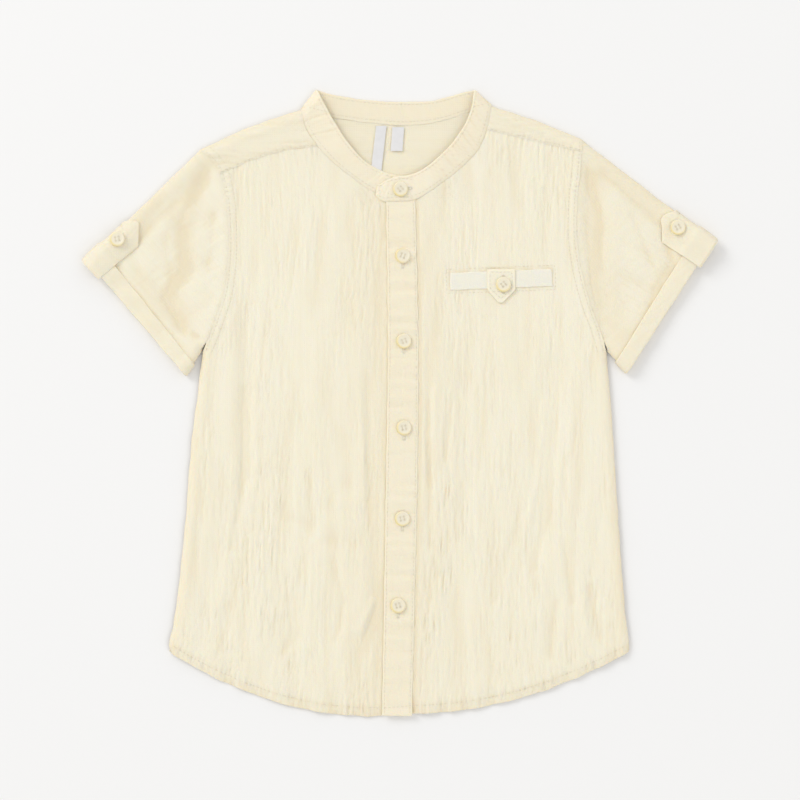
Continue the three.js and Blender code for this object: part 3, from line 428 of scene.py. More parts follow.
def grid_normals(points, closed=False):
    """Unit normals of a grid of points with rows first; closed joins the last column to the first."""
    if closed:
        ring = np.concatenate([points[:, -1:], points, points[:, :1]], 1)
        du = (ring[:, 2:] - ring[:, :-2]) / 2
    else:
        du = np.gradient(points, axis=1)
    dv = np.gradient(points, axis=0)
    normal = np.cross(du, dv)
    return normal / np.maximum(np.linalg.norm(normal, axis=-1, keepdims=True), 1e-12)


# Edges that turn by more than these angles stay sharp
CLOTH_SHARP = math.radians(62)
BUTTON_SHARP = math.radians(50)


def make_object(name, vertices, faces, material):
    """An object from millimetre vertices and quads or triangles."""
    mesh = bpy.data.meshes.new(name)
    mesh.from_pydata((np.asarray(vertices, float) * MM).tolist(), [], [list(map(int, f)) for f in faces])
    mesh.validate()
    mesh.update()
    mesh.polygons.foreach_set("use_smooth", np.ones(len(mesh.polygons), bool))
    mesh.set_sharp_from_angle(angle=CLOTH_SHARP)
    piece = bpy.data.objects.new(name, mesh)
    bpy.context.scene.collection.objects.link(piece)
    piece.data.materials.append(material)
    return piece


def box_blur(grid, reach, axis, wrap):
    """Running mean of a grid along one axis."""
    pad = [(0, 0), (0, 0)]
    pad[axis] = (reach, reach)
    padded = np.pad(grid, pad, mode="wrap" if wrap else "edge")
    total = np.cumsum(padded, axis=axis)
    total = np.concatenate([np.zeros_like(np.take(total, [0], axis=axis)), total], axis=axis)
    width = 2 * reach + 1
    size = grid.shape[axis]
    high = np.take(total, np.arange(width, width + size), axis=axis)
    return (high - np.take(total, np.arange(size), axis=axis)) / width


def painted_shade_of(middle, normal, closed):
    """Painted shade at each point, from 0 to 1: darker deep in a crease and where the cloth turns steeply."""
    height = middle[..., 2]
    reach = max(2, min(5, min(height.shape) // 4))
    level = box_blur(box_blur(height, reach, 0, False), reach, 1, closed)
    hollow = 0.35 * smooth((level - height - 0.03) / 0.9)
    steep = np.clip(1.1 - 1.1 * np.abs(normal[..., 2]), 0, 1)
    return np.clip(hollow + 0.6 * steep, 0, 1)


def shell(name, middle, wall, material, slot, closed=False, facing=1.0, thin=None, added_shade_and_tone=0.0, upright=0.0):
    """A closed cloth wall on both sides of a grid of middle points.

    facing is -1 where the grid's own normal points inwards, thin scales the wall at each point
    so that free edges round off, the added shade and tone darkens the colour with painted shade and an
    even deeper tone, and where upright is 1 the wall is measured straight up.
    """
    rows, columns = middle.shape[:2]
    straight_up = np.array([0.0, 0.0, 1.0])
    normal = lerp(grid_normals(middle, closed) * facing, straight_up, np.asarray(upright)[..., None])
    thin = np.ones((rows, columns)) if thin is None else thin
    half = (wall / 2 * thin)[..., None]
    outer = middle + normal * half
    inner = middle - normal * half
    for face in (outer, inner):
        face[..., 2] = np.maximum(face[..., 2], 0)
    vertices = np.concatenate([outer.reshape(-1, 3), inner.reshape(-1, 3)])
    index = np.arange(rows * columns).reshape(rows, columns)
    if closed:
        index = np.concatenate([index, index[:, :1]], 1)
    a, b = index[:-1, :-1].ravel(), index[:-1, 1:].ravel()
    c, d = index[1:, 1:].ravel(), index[1:, :-1].ravel()
    count = rows * columns
    quads = [np.stack([a, b, c, d], 1), np.stack([a, d, c, b], 1) + count]
    borders = [index[0], index[-1][::-1]]
    if not closed:
        borders += [index[:, -1], index[:, 0][::-1]]
    for line in borders:
        p, q = line[:-1], line[1:]
        quads.append(np.stack([p + count, q + count, q, p], 1))
    faces = np.concatenate(quads)
    if facing < 0:
        faces = faces[:, ::-1]
    piece = make_object(name, vertices, faces, material)
    # Painted shade in creases, on steep faces and at the rounded free edges, plus the added shade and tone
    shade_and_tone = np.maximum(painted_shade_of(middle, normal, closed), 0.3 * (1 - thin))
    shade_and_tone = np.clip(shade_and_tone + added_shade_and_tone, 0, 1).ravel()
    field = piece.data.attributes.new("shade_and_tone", "FLOAT", "POINT")
    field.data.foreach_set("value", np.r_[shade_and_tone, shade_and_tone].astype(np.float32))
    return piece


# Distances from a free edge at which its rounding is cut, and how thick the wall is there
EDGE_STEPS = np.array([0.0, 0.12, 0.4, 0.8])
EDGE_THIN = np.array([0.3, 0.62, 0.9, 1.0])


def edged(length, step, first=True, last=True):
    """Fractions across a strip with rounded free edges, and the wall's share at each."""
    near = EDGE_STEPS / length if first else np.array([0.0])
    far = 1 - EDGE_STEPS[::-1] / length if last else np.array([1.0])
    count = max(2, int(round((far[0] - near[-1]) * length / step)))
    middle = np.linspace(near[-1], far[0], count + 1)[1:-1]
    thin = np.r_[EDGE_THIN if first else [1.0], np.ones(len(middle)), EDGE_THIN[::-1] if last else [1.0]]
    return np.r_[near, middle, far], thin


def fan(lengths, step, start=0.0, end=0.0, curl=7):
    """Fractions across lines of different lengths, as many on each, packed where an end rounds over."""
    lengths = np.asarray(lengths, float)[:, None]
    angles = 1 - np.cos(np.linspace(0, np.pi / 2, curl))
    near = start * angles / lengths if start else np.zeros_like(lengths)
    far = 1 - (end * angles)[::-1] / lengths if end else np.ones_like(lengths)
    count = max(2, int(round((lengths.mean() - start - end) / step)))
    share = np.linspace(0, 1, count + 1)[1:-1]
    middle = near[:, -1:] + (far[:, :1] - near[:, -1:]) * share
    return np.concatenate([near, middle, far], 1)


def nearest_on(x, y, line):
    """Distance to a line of points, and how far along it the nearest place is."""
    points = np.stack([x, y], -1)
    best = np.full(x.shape, np.inf)
    arc = np.zeros(x.shape)
    passed = 0.0
    for a, b in zip(line[:-1], line[1:]):
        d = b - a
        length = np.linalg.norm(d)
        t = np.clip(((points - a) @ d) / length**2, 0, 1)
        away = np.linalg.norm(points - a - t[..., None] * d, axis=-1)
        closer = away < best
        best = np.where(closer, away, best)
        arc = np.where(closer, passed + t * length, arc)
        passed += length
    return best, arc


def patch(bottom, top, left, right):
    """The sheet that fills four edges, each a function of its own fraction."""

    def at(u, v):
        u, v = np.broadcast_arrays(np.asarray(u, float), np.asarray(v, float))
        edges = [edge(t) for edge, t in ((bottom, u), (top, u), (left, v), (right, v))]
        corners = [edge(np.full(u.shape, end)) for edge in (bottom, top) for end in (0.0, 1.0)]
        s, t = u[..., None], v[..., None]
        flat = lerp(lerp(corners[0], corners[1], s), lerp(corners[2], corners[3], s), t)
        return lerp(edges[0], edges[1], t) + lerp(edges[2], edges[3], s) - flat

    return at


def bowed(a, b, bow):
    """A straight line from a to b, bowed up by that much in its middle."""
    a, b = np.array(a, float), np.array(b, float)

    def at(t):
        t = np.asarray(t, float)
        point = lerp(a, b, t[..., None])
        point[..., 1] += 4 * bow * t * (1 - t)
        return point

    return at


def stretch(line, start, end):
    """The part of a line between two fractions, read from 0 to 1."""
    return lambda t: line(lerp(start, end, np.asarray(t, float)))


def hem_line(side):
    return bowed(LINES[side]["side"](0), LINES[side]["centre"](0), -HEM_BOW[side])


def yoke_line(side):
    rows = YOKE[side]
    return bowed(LINES[side]["armhole"](rows["armhole"]), LINES[side]["neck"](rows["neck"]), rows["bow"])


def gathered_seams():
    """Seams that gather the cloth a little: line, depth of the puckers and how far they reach."""
    seams = {}
    for side in SIDES:
        seams["armhole_" + side] = (LINES[side]["armhole"](np.linspace(0, 1, 41)), 0.12, 5)
        seams["yoke_" + side] = (yoke_line(side)(np.linspace(0, 1, 17)), 0.13, 7)
        seams["hem_" + side] = (hem_line(side)(np.linspace(0, 1, 33)) + [0, HEM_WIDTH], 0.26, 6)
    return seams


SEAM_LINES = gathered_seams()


def armhole_distance(x, y, side):
    return nearest_on(x, y, SEAM_LINES["armhole_" + side][0])[0]


def puckers(x, y, only=None):
    """Short ridges that cross the seams, uneven along them."""
    height = np.zeros(x.shape)
    for k, (name, (line, deep, reach)) in enumerate(SEAM_LINES.items()):
        if only is not None and not name.startswith(only):
            continue
        away, arc = nearest_on(x, y, line)
        wave = sample("ridge", arc * 1.25 + 61 * k, away * 0.6)
        wave += 0.5 * sample("fine", arc + 37 * k, away * 0.5)
        height += deep * wave * bell(away, reach)
    return height


WANDER = 0.14


def warp(points):
    """A slight wander of every edge and seam, the same for all the pieces."""
    x, y = points[..., 0].copy(), points[..., 1].copy()
    points[..., 0] = x + WANDER * sample("broad", y + 140, x * 0.5)
    points[..., 1] = y + WANDER * sample("broad", x + 480, y * 0.5)
    return points


# Rows of a front, each from its outer edge to its inner one: 0 to 1 up the side or the centre edge,
# then 1 to 2 up the armhole or the neck, and the step of the front at which each lies
FRONT_ROWS = {
    "right": [(0, 0), (0.31, 0.2), (0.67, 0.48), (1, 0.72), (1.3, 0.86), (1.66, 1), (1.75, 1.3),
              (1 + YOKE["right"]["armhole"], 1 + YOKE["right"]["neck"])],
    "left": [(0, 0), (0.31, 0.2), (0.67, 0.48), (1, 0.72), (1.3, 0.86), (1.7, 1), (1.82, 1.36),
             (1 + YOKE["left"]["armhole"], 1 + YOKE["left"]["neck"])],
}
FRONT_ROW_AT = [0, 3, 7, 10, 13, 16, 18, 21]
FRONT_LENGTH = 392.0
HEM_ROWS = 8
YOKE_ROWS = 5

# The lowest that the middle of a front lies, at its hem and above it
HEM_LOWEST = 0.5
FRONT_LOWEST = 2.05


def two_lines(first, second):
    """One line after the other: 0 to 1 on the first, 1 to 2 on the second."""

    def at(e):
        e = np.asarray(e, float)
        return np.where((e <= 1)[..., None], first(e), second(e - 1))

    return at


def hem_bulk(away):
    """How much the turned hem raises the cloth, with a groove where it is stitched down."""
    groove = 0.35 * bell(away - HEM_WIDTH, 0.7)
    return 0.35 * (1 - smooth((away - HEM_WIDTH) / 1.5)) - groove


def front_grid(side, step=0.95, row_step=2.1):
    """Middle points of a front, from the hem up to the yoke seam, and the wall's share in each row."""
    rows, thin = edged(FRONT_LENGTH, row_step, last=False)
    j = rows * FRONT_ROW_AT[-1]
    pairs = np.array(FRONT_ROWS[side], float)
    outer = np.interp(j, FRONT_ROW_AT, pairs[:, 0])
    inner = np.interp(j, FRONT_ROW_AT, pairs[:, 1])
    lines = LINES[side]
    a = two_lines(lines["side"], lines["armhole"])(outer)
    b = two_lines(lines["centre"], lines["neck"])(inner)
    if side == "left":
        b[:, 0] -= UNDER_PLACKET * (1 - smooth((inner - 1) / 0.05))
    u = fan(np.linalg.norm(b - a, axis=1), step, FOLD_REACH)
    hem, yoke = hem_line(side), yoke_line(side)
    last = FRONT_ROW_AT[-1]
    hem_share = (1 - smooth(j / HEM_ROWS))[:, None]
    yoke_share = smooth((j - last + YOKE_ROWS) / YOKE_ROWS)[:, None]
    xy = lerp(a[:, None], b[:, None], u[..., None])
    xy[..., 1] += hem_share * (hem(u)[..., 1] - lerp(hem(0.0)[1], hem(1.0)[1], u))
    xy[..., 1] += yoke_share * (yoke(u)[..., 1] - lerp(yoke(0.0)[1], yoke(1.0)[1], u))
    x, y = xy[..., 0], xy[..., 1]
    z = upper_height(x, y, side)
    z[:, 0] = np.where(outer <= 1, FOLD_MID, z[:, 0])
    return np.dstack([x, y, z]), np.repeat(thin[:, None], x.shape[1], 1)


def welt_distance(x, y):
    """Distance outside the pocket's welt and tab, 0 on them."""
    c, s = math.cos(WELT["turn"]), math.sin(WELT["turn"])
    dx, dy = x - WELT["x"], y - WELT["y"]
    along, up = dx * c + dy * s, dy * c - dx * s
    past_end = np.maximum(np.abs(along) - WELT["length"] / 2, 0)
    past_side = np.maximum(np.abs(up) - WELT["width"] / 2, 0)
    beside = np.maximum(np.abs(dx) - POCKET_TAB["width"] / 2, 0)
    below = np.maximum(POCKET_TAB["tip"] - y, 0) + np.maximum(y - POCKET_TAB["top"], 0)
    return np.minimum(np.hypot(past_end, past_side), np.hypot(beside, below))


def seam_rise(edge):
    """The bulk of the seam allowances at an armhole, which lifts the cloth on both sides."""
    return 0.75 * bell(edge, 6.5)


def front_relief(x, y, side):
    """Crinkle, fine creases and puckers of a front above its large form."""
    away = x - placket_right(y)
    free = smooth((-9 - x) / 10) if side == "right" else smooth((away + 2) / 9)
    distance = fold_distance(x, y)
    loose = smooth((distance - 1.5) / 9)
    edge = armhole_distance(x, y, side)
    calm = 0.3 + 0.7 * smooth(edge / 8)
    under_welt = 1 - smooth((welt_distance(x, y) + 1) / 5) if side == "left" else 0.0
    calm = calm * (1 - 0.85 * under_welt)
    rumpled = 0.95 + 0.55 * smooth((20 - y) / 120)
    rumpled = rumpled + 0.35 * bell(np.abs(x) - 26, 14) * smooth((90 - y) / 80)
    lively = (crinkle(x, y) + relief(x, y, CREASES)) * calm * rumpled
    height = (0.25 + 0.75 * free) * loose * lively + free * puckers(x, y)
    grooves = bell(edge - 6.3, 0.7) + 0.8 * bell(edge - 1.9, 0.7)
    bulk = 0.3 * (1 - smooth((edge - 6.6) / 2.2)) - 0.3 * grooves + seam_rise(edge) - 0.15 * bell(edge, 0.8)
    if side == "left":
        height = height - 0.5 * bell(away - 1.2, 1.2) - 0.9 * (1 - smooth((away + 0.9) / 1.2))
    else:
        height = height + 1.1 * bell(x + 15, 5) * bell(y - 148.5, 4)
    return height + bulk * loose


def front_shade_and_tone(x, y, side, hem):
    """Painted shade of a front in its seam lines, stitch grooves, folds and crinkle hollows, and beside the
    placket and the pocket, with a slight deeper tone all over and a little more over the turned hem band.
    """
    edge = armhole_distance(x, y, side)
    yoke, _ = nearest_on(x, y, SEAM_LINES["yoke_" + side][0])
    # Painted shade in the armhole's stitch grooves, along the yoke seam, in the hem's stitch groove, at the
    # hem's edge and near the folds; a little deeper tone over the turned hem band
    added_shade_and_tone = 0.25 * bell(edge - 6.3, 0.8) + 0.2 * bell(edge - 1.2, 1.2)
    added_shade_and_tone += 0.1 * bell(yoke, 1.2) + 0.3 * bell(hem - HEM_WIDTH, 0.8)
    added_shade_and_tone += 0.18 * bell(hem, 2.2) + 0.12 * (hem < HEM_WIDTH) + 0.25 * bell(fold_distance(x, y), 6)
    # Painted shade in the crinkle's hollows and creases, over a slight even deeper tone
    hollow = -crinkle(x, y) - 0.2 * relief(x, y, CREASES)
    added_shade_and_tone += 0.08 + 0.35 * np.clip(hollow / 0.35, 0, 1)
    away = x - placket_right(y)
    if side == "left":
        # Painted shade along the placket's right edge and broadly beside it, and round the pocket, heaviest
        # on its upper side
        added_shade_and_tone += 0.8 * bell(away - 0.8, 1.2) + 0.2 * bell(away, 26)
        welt = welt_distance(x, y)
        along_top = y > WELT["y"] + 5
        added_shade_and_tone += bell(welt - 0.5, 1.0) * (welt > 0) * np.where(along_top, 0.7, 0.25)
    else:
        # Painted shade at the placket's left edge and broadly beside it
        left, _ = placket_edges(y)
        added_shade_and_tone += 0.1 * bell(left - x - 0.3, 1.0) + 0.3 * bell(left - x, 30)
    return added_shade_and_tone


def build_front(side):
    """A front, whose hem comes down to the surface past the shorter hem of the back."""
    middle, thin = front_grid(side)
    x, y = middle[..., 0], middle[..., 1]
    folded = fold_distance(x, y)
    extra = front_relief(x, y, side)
    away, _ = nearest_on(x, y, hem_line(side)(np.linspace(0, 1, 65)))
    middle[..., 2] += extra + hem_bulk(away)
    flutter = 0.5 * sample("broad", x * 1.3 + 300, y * 0.3) * (1 - smooth(away / 22)) * smooth(folded / 12)
    laid = lerp(HEM_LOWEST, FRONT_LOWEST, smooth(away / 5))
    drop_to_floor = 1.5 * (1 - smooth(away / 9))
    middle[..., 2] = np.maximum(middle[..., 2] + flutter - drop_to_floor, laid)
    return shell(
        "front_" + side, warp(middle), CLOTH, GAUZE, "gauze", facing=-turn_of(side), thin=thin,
        added_shade_and_tone=front_shade_and_tone(x, y, side, away), upright=smooth((folded - 6) / 3),
    )


def back_grid(step=3.0):
    """Middle points of the back, from its hem up to the yoke seam."""
    rows, thin = edged(FRONT_LENGTH, step, last=False)
    low = 0.008
    right = two_lines(LINES["right"]["side"], LINES["right"]["armhole"])
    left = two_lines(LINES["left"]["side"], LINES["left"]["armhole"])
    e = lerp(low, 1 + YOKE_BACK["right"], rows)
    a, b = right(e), left(lerp(low, 1 + YOKE_BACK["left"], rows))
    u = fan(np.linalg.norm(b - a, axis=1), step, UNDER_REACH, UNDER_REACH)
    xy = lerp(a[:, None], b[:, None], u[..., None])
    middle = LINES["right"]["centre"](0)[0]
    hem = np.zeros(u.shape)
    for side in SIDES:
        outer, inner = LINES[side]["side"](0), LINES[side]["centre"](0)
        t = np.clip((xy[..., 0] - outer[0]) / (inner[0] - outer[0]), 0, 1)
        on_side = xy[..., 0] < middle if side == "right" else xy[..., 0] >= middle
        hem = np.where(on_side, hem_line(side)(t)[..., 1] + BACK_HEM_SHORTER, hem)
    drop = np.minimum(0, hem - lerp(a[:, 1:2], b[:, 1:2], u))
    xy[..., 1] += drop * ((1 - rows) ** 3)[:, None]
    x, y = xy[..., 0], xy[..., 1]
    z = lower_height(x, y)
    on_fold = e <= 1
    z[:, 0] = np.where(on_fold, FOLD_MID, z[:, 0])
    z[:, -1] = np.where(on_fold, FOLD_MID, z[:, -1])
    return np.dstack([x, y, z]), np.repeat(thin[:, None], x.shape[1], 1)


# Creases of the cloth against the surface, which no view from above shows
UNDER_CREASES = [
    (0.5, 5, [(-90, 90), (-84, 10), (-92, -60)]), (0.45, 6, [(-30, 120), (-38, 30)]),
    (0.5, 5, [(40, 60), (52, -40), (44, -130)]), (0.45, 6, [(96, 110), (104, 30)]),
    (0.5, 7, [(-120, -90), (-104, -180)]), (0.45, 6, [(110, -60), (126, -150)]),
    (0.4, 5, [(0, -100), (-12, -190)]), (0.45, 5, [(-70, -120), (-58, -200)]),
]


def under_relief(x, y, turned=False):
    """Crinkle of the lower layer, which only rises off the surface."""
    wave = crinkle(y + 200, x + 90, 0.45) if turned else crinkle(x + 90, y + 200, 0.45)
    loose = smooth((fold_distance(x, y) - 1) / 8)
    return np.maximum(0, (0.12 + wave + relief(x, y, UNDER_CREASES)) * loose)


def build_back():
    """The back, which lies flat on the surface."""
    middle, thin = back_grid()
    x, y = middle[..., 0], middle[..., 1]
    middle[..., 2] += np.minimum(under_relief(x, y), 0.75)
    return shell("back", warp(middle), CLOTH - 0.2, GAUZE, "gauze", facing=-1.0, thin=thin)


def join(name, objects):
    """Joins objects that share a frame into the first one."""
    mesh = bmesh.new()
    for item in objects:
        mesh.from_mesh(item.data)
    joined = objects[0]
    mesh.to_mesh(joined.data)
    mesh.free()
    for item in objects[1:]:
        bpy.data.objects.remove(item)
    joined.name = name
    joined.data.name = name
    return joined


def yoke_flap(side):
    """The part of the yoke that is folded over a shoulder to the front, as middle points and options."""
    lines, columns = LINES[side], 61
    flap = patch(
        lambda t: yoke_line(side)(t) - [0, YOKE_LAP], lines["shoulder"],
        stretch(lines["armhole"], YOKE[side]["armhole"], 1), stretch(lines["neck"], YOKE[side]["neck"], 1),
    )
    u = np.linspace(0, 1, columns)
    deep = np.linalg.norm(flap(u, np.ones(columns)) - flap(u, np.zeros(columns)), axis=1)
    v = fan(deep, 1.2, 0, FOLD_REACH).T
    xy = flap(np.broadcast_to(u, v.shape), v)
    x, y = xy[..., 0], xy[..., 1]
    z = upper_height(x, y, side)
    z[-1] = FOLD_MID
    folded = fold_distance(x, y)
    lie = smooth((folded - 1) / 7)
    wave = crinkle(y * 1.1 + 40, x * 0.9 + 75, 0.9)
    edge = armhole_distance(x, y, side)
    hemmed = v * deep[None, :]
    z += lie * (0.9 * wave + puckers(x, y) + seam_rise(edge)) + 0.5 * lie - 0.12 * bell(hemmed - 2.4, 0.9)
    # Painted shade in the stitch groove, in the crinkle's hollows, near the folds and at the armhole, over an
    # even deeper tone
    added_shade_and_tone = 0.25 + 0.12 * bell(hemmed - 2.4, 0.8) + 0.35 * np.clip(-wave / 0.3, 0, 1)
    added_shade_and_tone += 0.25 * bell(folded, 4) + 0.2 * bell(edge, 1.5)
    return np.dstack([x, y, z]), {
        "facing": -turn_of(side), "thin": np.clip(0.35 + hemmed / 2.6, 0, 1), "added_shade_and_tone": added_shade_and_tone,
    }


def yoke_behind():
    """The part of the yoke that lies on the surface behind the neck."""
    armholes = {side: stretch(LINES[side]["armhole"], YOKE_BACK[side], 1) for side in SIDES}
    ends = [armholes[side](0) for side in SIDES]
    u = np.linspace(0, 1, 221)
    right_part, neck_part, parts = 6, 10, 22
    knots = u * parts
    on_right, on_left = knots <= right_part, knots > right_part + neck_part
    tops = np.where(
        on_right[:, None], LINES["right"]["shoulder"](knots / right_part),
        neck_back((knots - right_part) / neck_part),
    )
    down = (knots - right_part - neck_part) / (parts - right_part - neck_part)
    tops = np.where(on_left[:, None], LINES["left"]["shoulder"](1 - down), tops)
    under = np.clip((tops[:, 0] - ends[0][0]) / (ends[1][0] - ends[0][0]), 0, 1)
    bottoms = lerp(ends[0], ends[1], ((u + under) / 2)[:, None]) + [0, 0.2]
    v = fan(np.linalg.norm(tops - bottoms, axis=1), 2.0, 0, UNDER_REACH).T
    s, t = u[None, :, None], v[..., None]
    flat = lerp(lerp(bottoms[0], bottoms[-1], s), lerp(tops[0], tops[-1], s), t)
    xy = lerp(bottoms, tops, t) + lerp(armholes["right"](v), armholes["left"](v), s) - flat
    x, y = xy[..., 0], xy[..., 1]
    z = lower_height(x, y)
    z[-1] = np.where(on_right | (knots >= right_part + neck_part), FOLD_MID, z[-1])
    z += np.minimum(under_relief(x, y, turned=True), 0.8)
    return np.dstack([x, y, z]), {"facing": -1.0, "added_shade_and_tone": 0.35}


def build_yoke():
    """The yoke: a flap over each shoulder and the part behind the neck, joined."""
    parts = [yoke_flap("right"), yoke_flap("left"), yoke_behind()]
    walls = [
        shell("yoke_part_%d" % k, warp(middle), CLOTH - 0.1, GAUZE_TURNED["yoke"], "gauze", **options)
        for k, (middle, options) in enumerate(parts)
    ]
    return join("yoke", walls)


def sleeve_lift(side, across, from_end, length, inward):
    """How far the sleeve is lifted by its own turned-up end and by the tab."""
    cuff = lerp(CUFF[side]["top"], CUFF[side]["under"], across)
    fade = np.minimum(CUFF_FADE, length - cuff - 1.5)
    tab = TAB[side]
    beside = 1 - smooth((inward - tab["wrap"] - 1) / 12)
    before = 1 - smooth((from_end - tab["shoulder"] - 3) / 14)
    return CUFF_LIFT * (1 - smooth((from_end - cuff - 1.5) / fade)) + CUFF_LIFT * beside * before


def sleeve_middle(side, layer, from_end, across):
    """Points of the flattened sleeve: layer is 1 above and -1 below, across is 0 at the top fold."""
    layer, from_end, across = np.broadcast_arrays(layer, from_end, across)
    start, end, length = sleeve_frame(side, across)
    xy = lerp(end, start, (from_end / length)[..., None])
    top_start, top_end, top_length = sleeve_frame(side, np.zeros(across.shape))
    fold = lerp(top_end, top_start, (from_end / top_length)[..., None])
    inward = np.linalg.norm(xy - fold, axis=-1)
    x, y = xy[..., 0], xy[..., 1]
    z = np.where(layer > 0, upper_height(x, y, side), lower_height(x, y))
    z = np.where((across <= 1e-6) | (across >= 1 - 1e-6), FOLD_MID, z)
    return np.dstack([x, y, z + sleeve_lift(side, across, from_end, length, inward)])


def sleeve_width(side, from_end):
    """Width of the flattened sleeve at a distance from its end."""
    ends = [sleeve_frame(side, np.array(edge)) for edge in (0.0, 1.0)]
    a, b = (lerp(end, start, np.asarray(from_end)[..., None] / length) for start, end, length in ends)
    return np.linalg.norm(b - a, axis=-1)


def sleeve_ring(side, from_end_of, rows, step=1.4, under_step=2.1):
    """Rows of points round the flattened sleeve, upper layer first, and where they lie in the cloth."""
    width = sleeve_width(side, from_end_of(rows, np.full(rows.shape, 0.5)))
    over = fan(width, step, FOLD_REACH, FOLD_REACH)
    under = fan(width, under_step, UNDER_REACH, UNDER_REACH)
    across = np.concatenate([over, under[:, ::-1][:, 1:-1]], 1)
    layer = np.concatenate([np.ones(over.shape), -np.ones(under[:, 1:-1].shape)], 1)
    from_end = from_end_of(rows[:, None], across)
    middle = sleeve_middle(side, layer, from_end, across)
    place = across * sleeve_width(side, from_end)
    return middle, layer, from_end, across, place


# Where a sleeve ends inside its cuff, and the lowest that its upper layer lies
INSIDE_CUFF = 1.7
SLEEVE_LOWEST = 2.05


def sleeve_relief(side, x, y, layer, from_end, place):
    """Crinkle of a sleeve, which runs along it from the armhole to the cuff."""
    shift = 130 if side == "right" else 410
    wave = crinkle(place + shift, from_end + shift)
    edge = armhole_distance(x, y, side)
    loose = smooth((fold_distance(x, y) - 1) / 8)
    calm = 0.25 + 0.75 * smooth(edge / 7)
    over = 0.65 * calm * wave + 0.8 * relief(x, y, CREASES) + puckers(x, y, "armhole") + seam_rise(edge)
    over += 0.2 * bell(edge - 3, 4) - 0.1 * bell(edge, 2.0)
    under = np.maximum(0, 0.1 + 0.45 * wave)
    return loose * np.where(layer > 0, over, under)


def facing_of(middle):
    """1 where the normals of a closed ring grid point away from its middle."""
    normal = grid_normals(middle, True)
    outward = middle - middle.mean(axis=1, keepdims=True)
    return 1.0 if (normal * outward)[..., 2].sum() > 0 else -1.0


# Broad hollows of the sleeves, in the form of the creases, which also carry painted shade
SLEEVE_SHADES = [
    (-0.55, 11, [(143, 168), (147, 135), (151, 105), (158, 72), (164, 48)]),
    (-0.4, 8, [(206, 112), (196, 88), (183, 62), (177, 50)]), (-0.3, 9, [(160, 176), (190, 150), (214, 128)]),
    (-0.8, 7, [(-146, 176), (-160, 140), (-160, 110), (-172, 84), (-162, 58)]),
    (-0.6, 6, [(-182, 150), (-204, 122)]), (-0.5, 6, [(-196, 96), (-178, 66)]),
]


def build_sleeve(side):
    """A sleeve, which runs from under the armhole seam into its turned-up cuff."""
    rows = np.linspace(0, 1, 66)

    def from_end_of(v, across):
        _, _, length = sleeve_frame(side, across)
        return lerp(length, INSIDE_CUFF, v)

    middle, layer, from_end, across, place = sleeve_ring(side, from_end_of, rows)
    x, y, z = middle[..., 0], middle[..., 1], middle[..., 2]
    upper = (layer > 0) & (across > 1e-6)
    extra = sleeve_relief(side, x, y, layer, from_end, place)
    cuff = lerp(CUFF[side]["top"], CUFF[side]["under"], across)
    z += extra * (0.15 + 0.85 * smooth((from_end - cuff) / 6))
    near_fold = fold_distance(x, y)
    valley = relief(x, y, SLEEVE_SHADES)
    z += 0.5 * valley * smooth(near_fold / 10) * (layer > 0)
    np.maximum(z, SLEEVE_LOWEST, out=z, where=upper)
    # Painted shade at the armhole, near the folds, at the cuff's edge, in the crinkle's hollows and along the
    # broad hollows, over a slight even deeper tone, on the upper layer only
    added_shade_and_tone = 0.1 + 0.25 * bell(armhole_distance(x, y, side), 2.2) + 0.35 * bell(near_fold, 7)
    added_shade_and_tone += 0.35 * bell(from_end - cuff, 2.0) + 0.45 * np.clip(-extra / 0.6, 0, 1) - 0.75 * valley
    return shell(
        "sleeve_" + side, warp(middle), CLOTH - 0.1, GAUZE_TURNED[side], "gauze",
        closed=True, facing=facing_of(middle), added_shade_and_tone=added_shade_and_tone * (layer > 0),
    )


def build_cuff(side):
    """The sleeve's end, turned up over itself."""
    turn = np.linspace(0, np.pi, 9)
    radius = CUFF_LIFT / 2
    flat = np.r_[EDGE_STEPS / CUFF_WIDTH, np.linspace(0.1, 1, 12)]
    thin = np.r_[EDGE_THIN, np.ones(12 + len(turn) - 1)]
    count = len(flat)
    rows = np.arange(count + len(turn) - 1, dtype=float)

    def along(v, across):
        width = lerp(CUFF[side]["top"], CUFF[side]["under"], across)
        share = np.interp(v, np.arange(count), flat)
        bend = np.interp(v, np.arange(count - 1, count + len(turn) - 1), turn)
        on_flat = lerp(width, INSIDE_CUFF + radius, share)
        round_end = INSIDE_CUFF + radius - radius * np.sin(bend)
        return np.where(v <= count - 1, on_flat, round_end)

    middle, layer, from_end, across, place = sleeve_ring(side, along, rows)
    bend = np.interp(rows, np.arange(count - 1, count + len(turn) - 1), turn, left=0.0)
    offset = radius * (1 + np.cos(bend))
    facing = facing_of(middle)
    normal = grid_normals(middle, True) * facing
    shift = 220 if side == "right" else 40
    wave = crinkle(place + shift, from_end * 1.5 + shift, 0.55) * (layer > 0)
    loose = smooth((fold_distance(middle[..., 0], middle[..., 1]) - 1) / 7)
    roll = 0.35 * sample("broad", place + shift, from_end * 0.4) * loose
    width = lerp(CUFF[side]["top"], CUFF[side]["under"], across)
    settled = 0.3 * bell(width - from_end, 2.5) * (layer > 0) * (rows < count)[:, None]
    rise = offset[:, None] + loose * (0.8 * (wave + roll) - settled)
    return shell(
        "cuff_" + side, warp(middle + normal * rise[..., None]), CLOTH, GAUZE_TURNED[side], "gauze",
        closed=True, facing=facing, thin=np.repeat(thin[:, None], middle.shape[1], 1), added_shade_and_tone=0.32,
    )


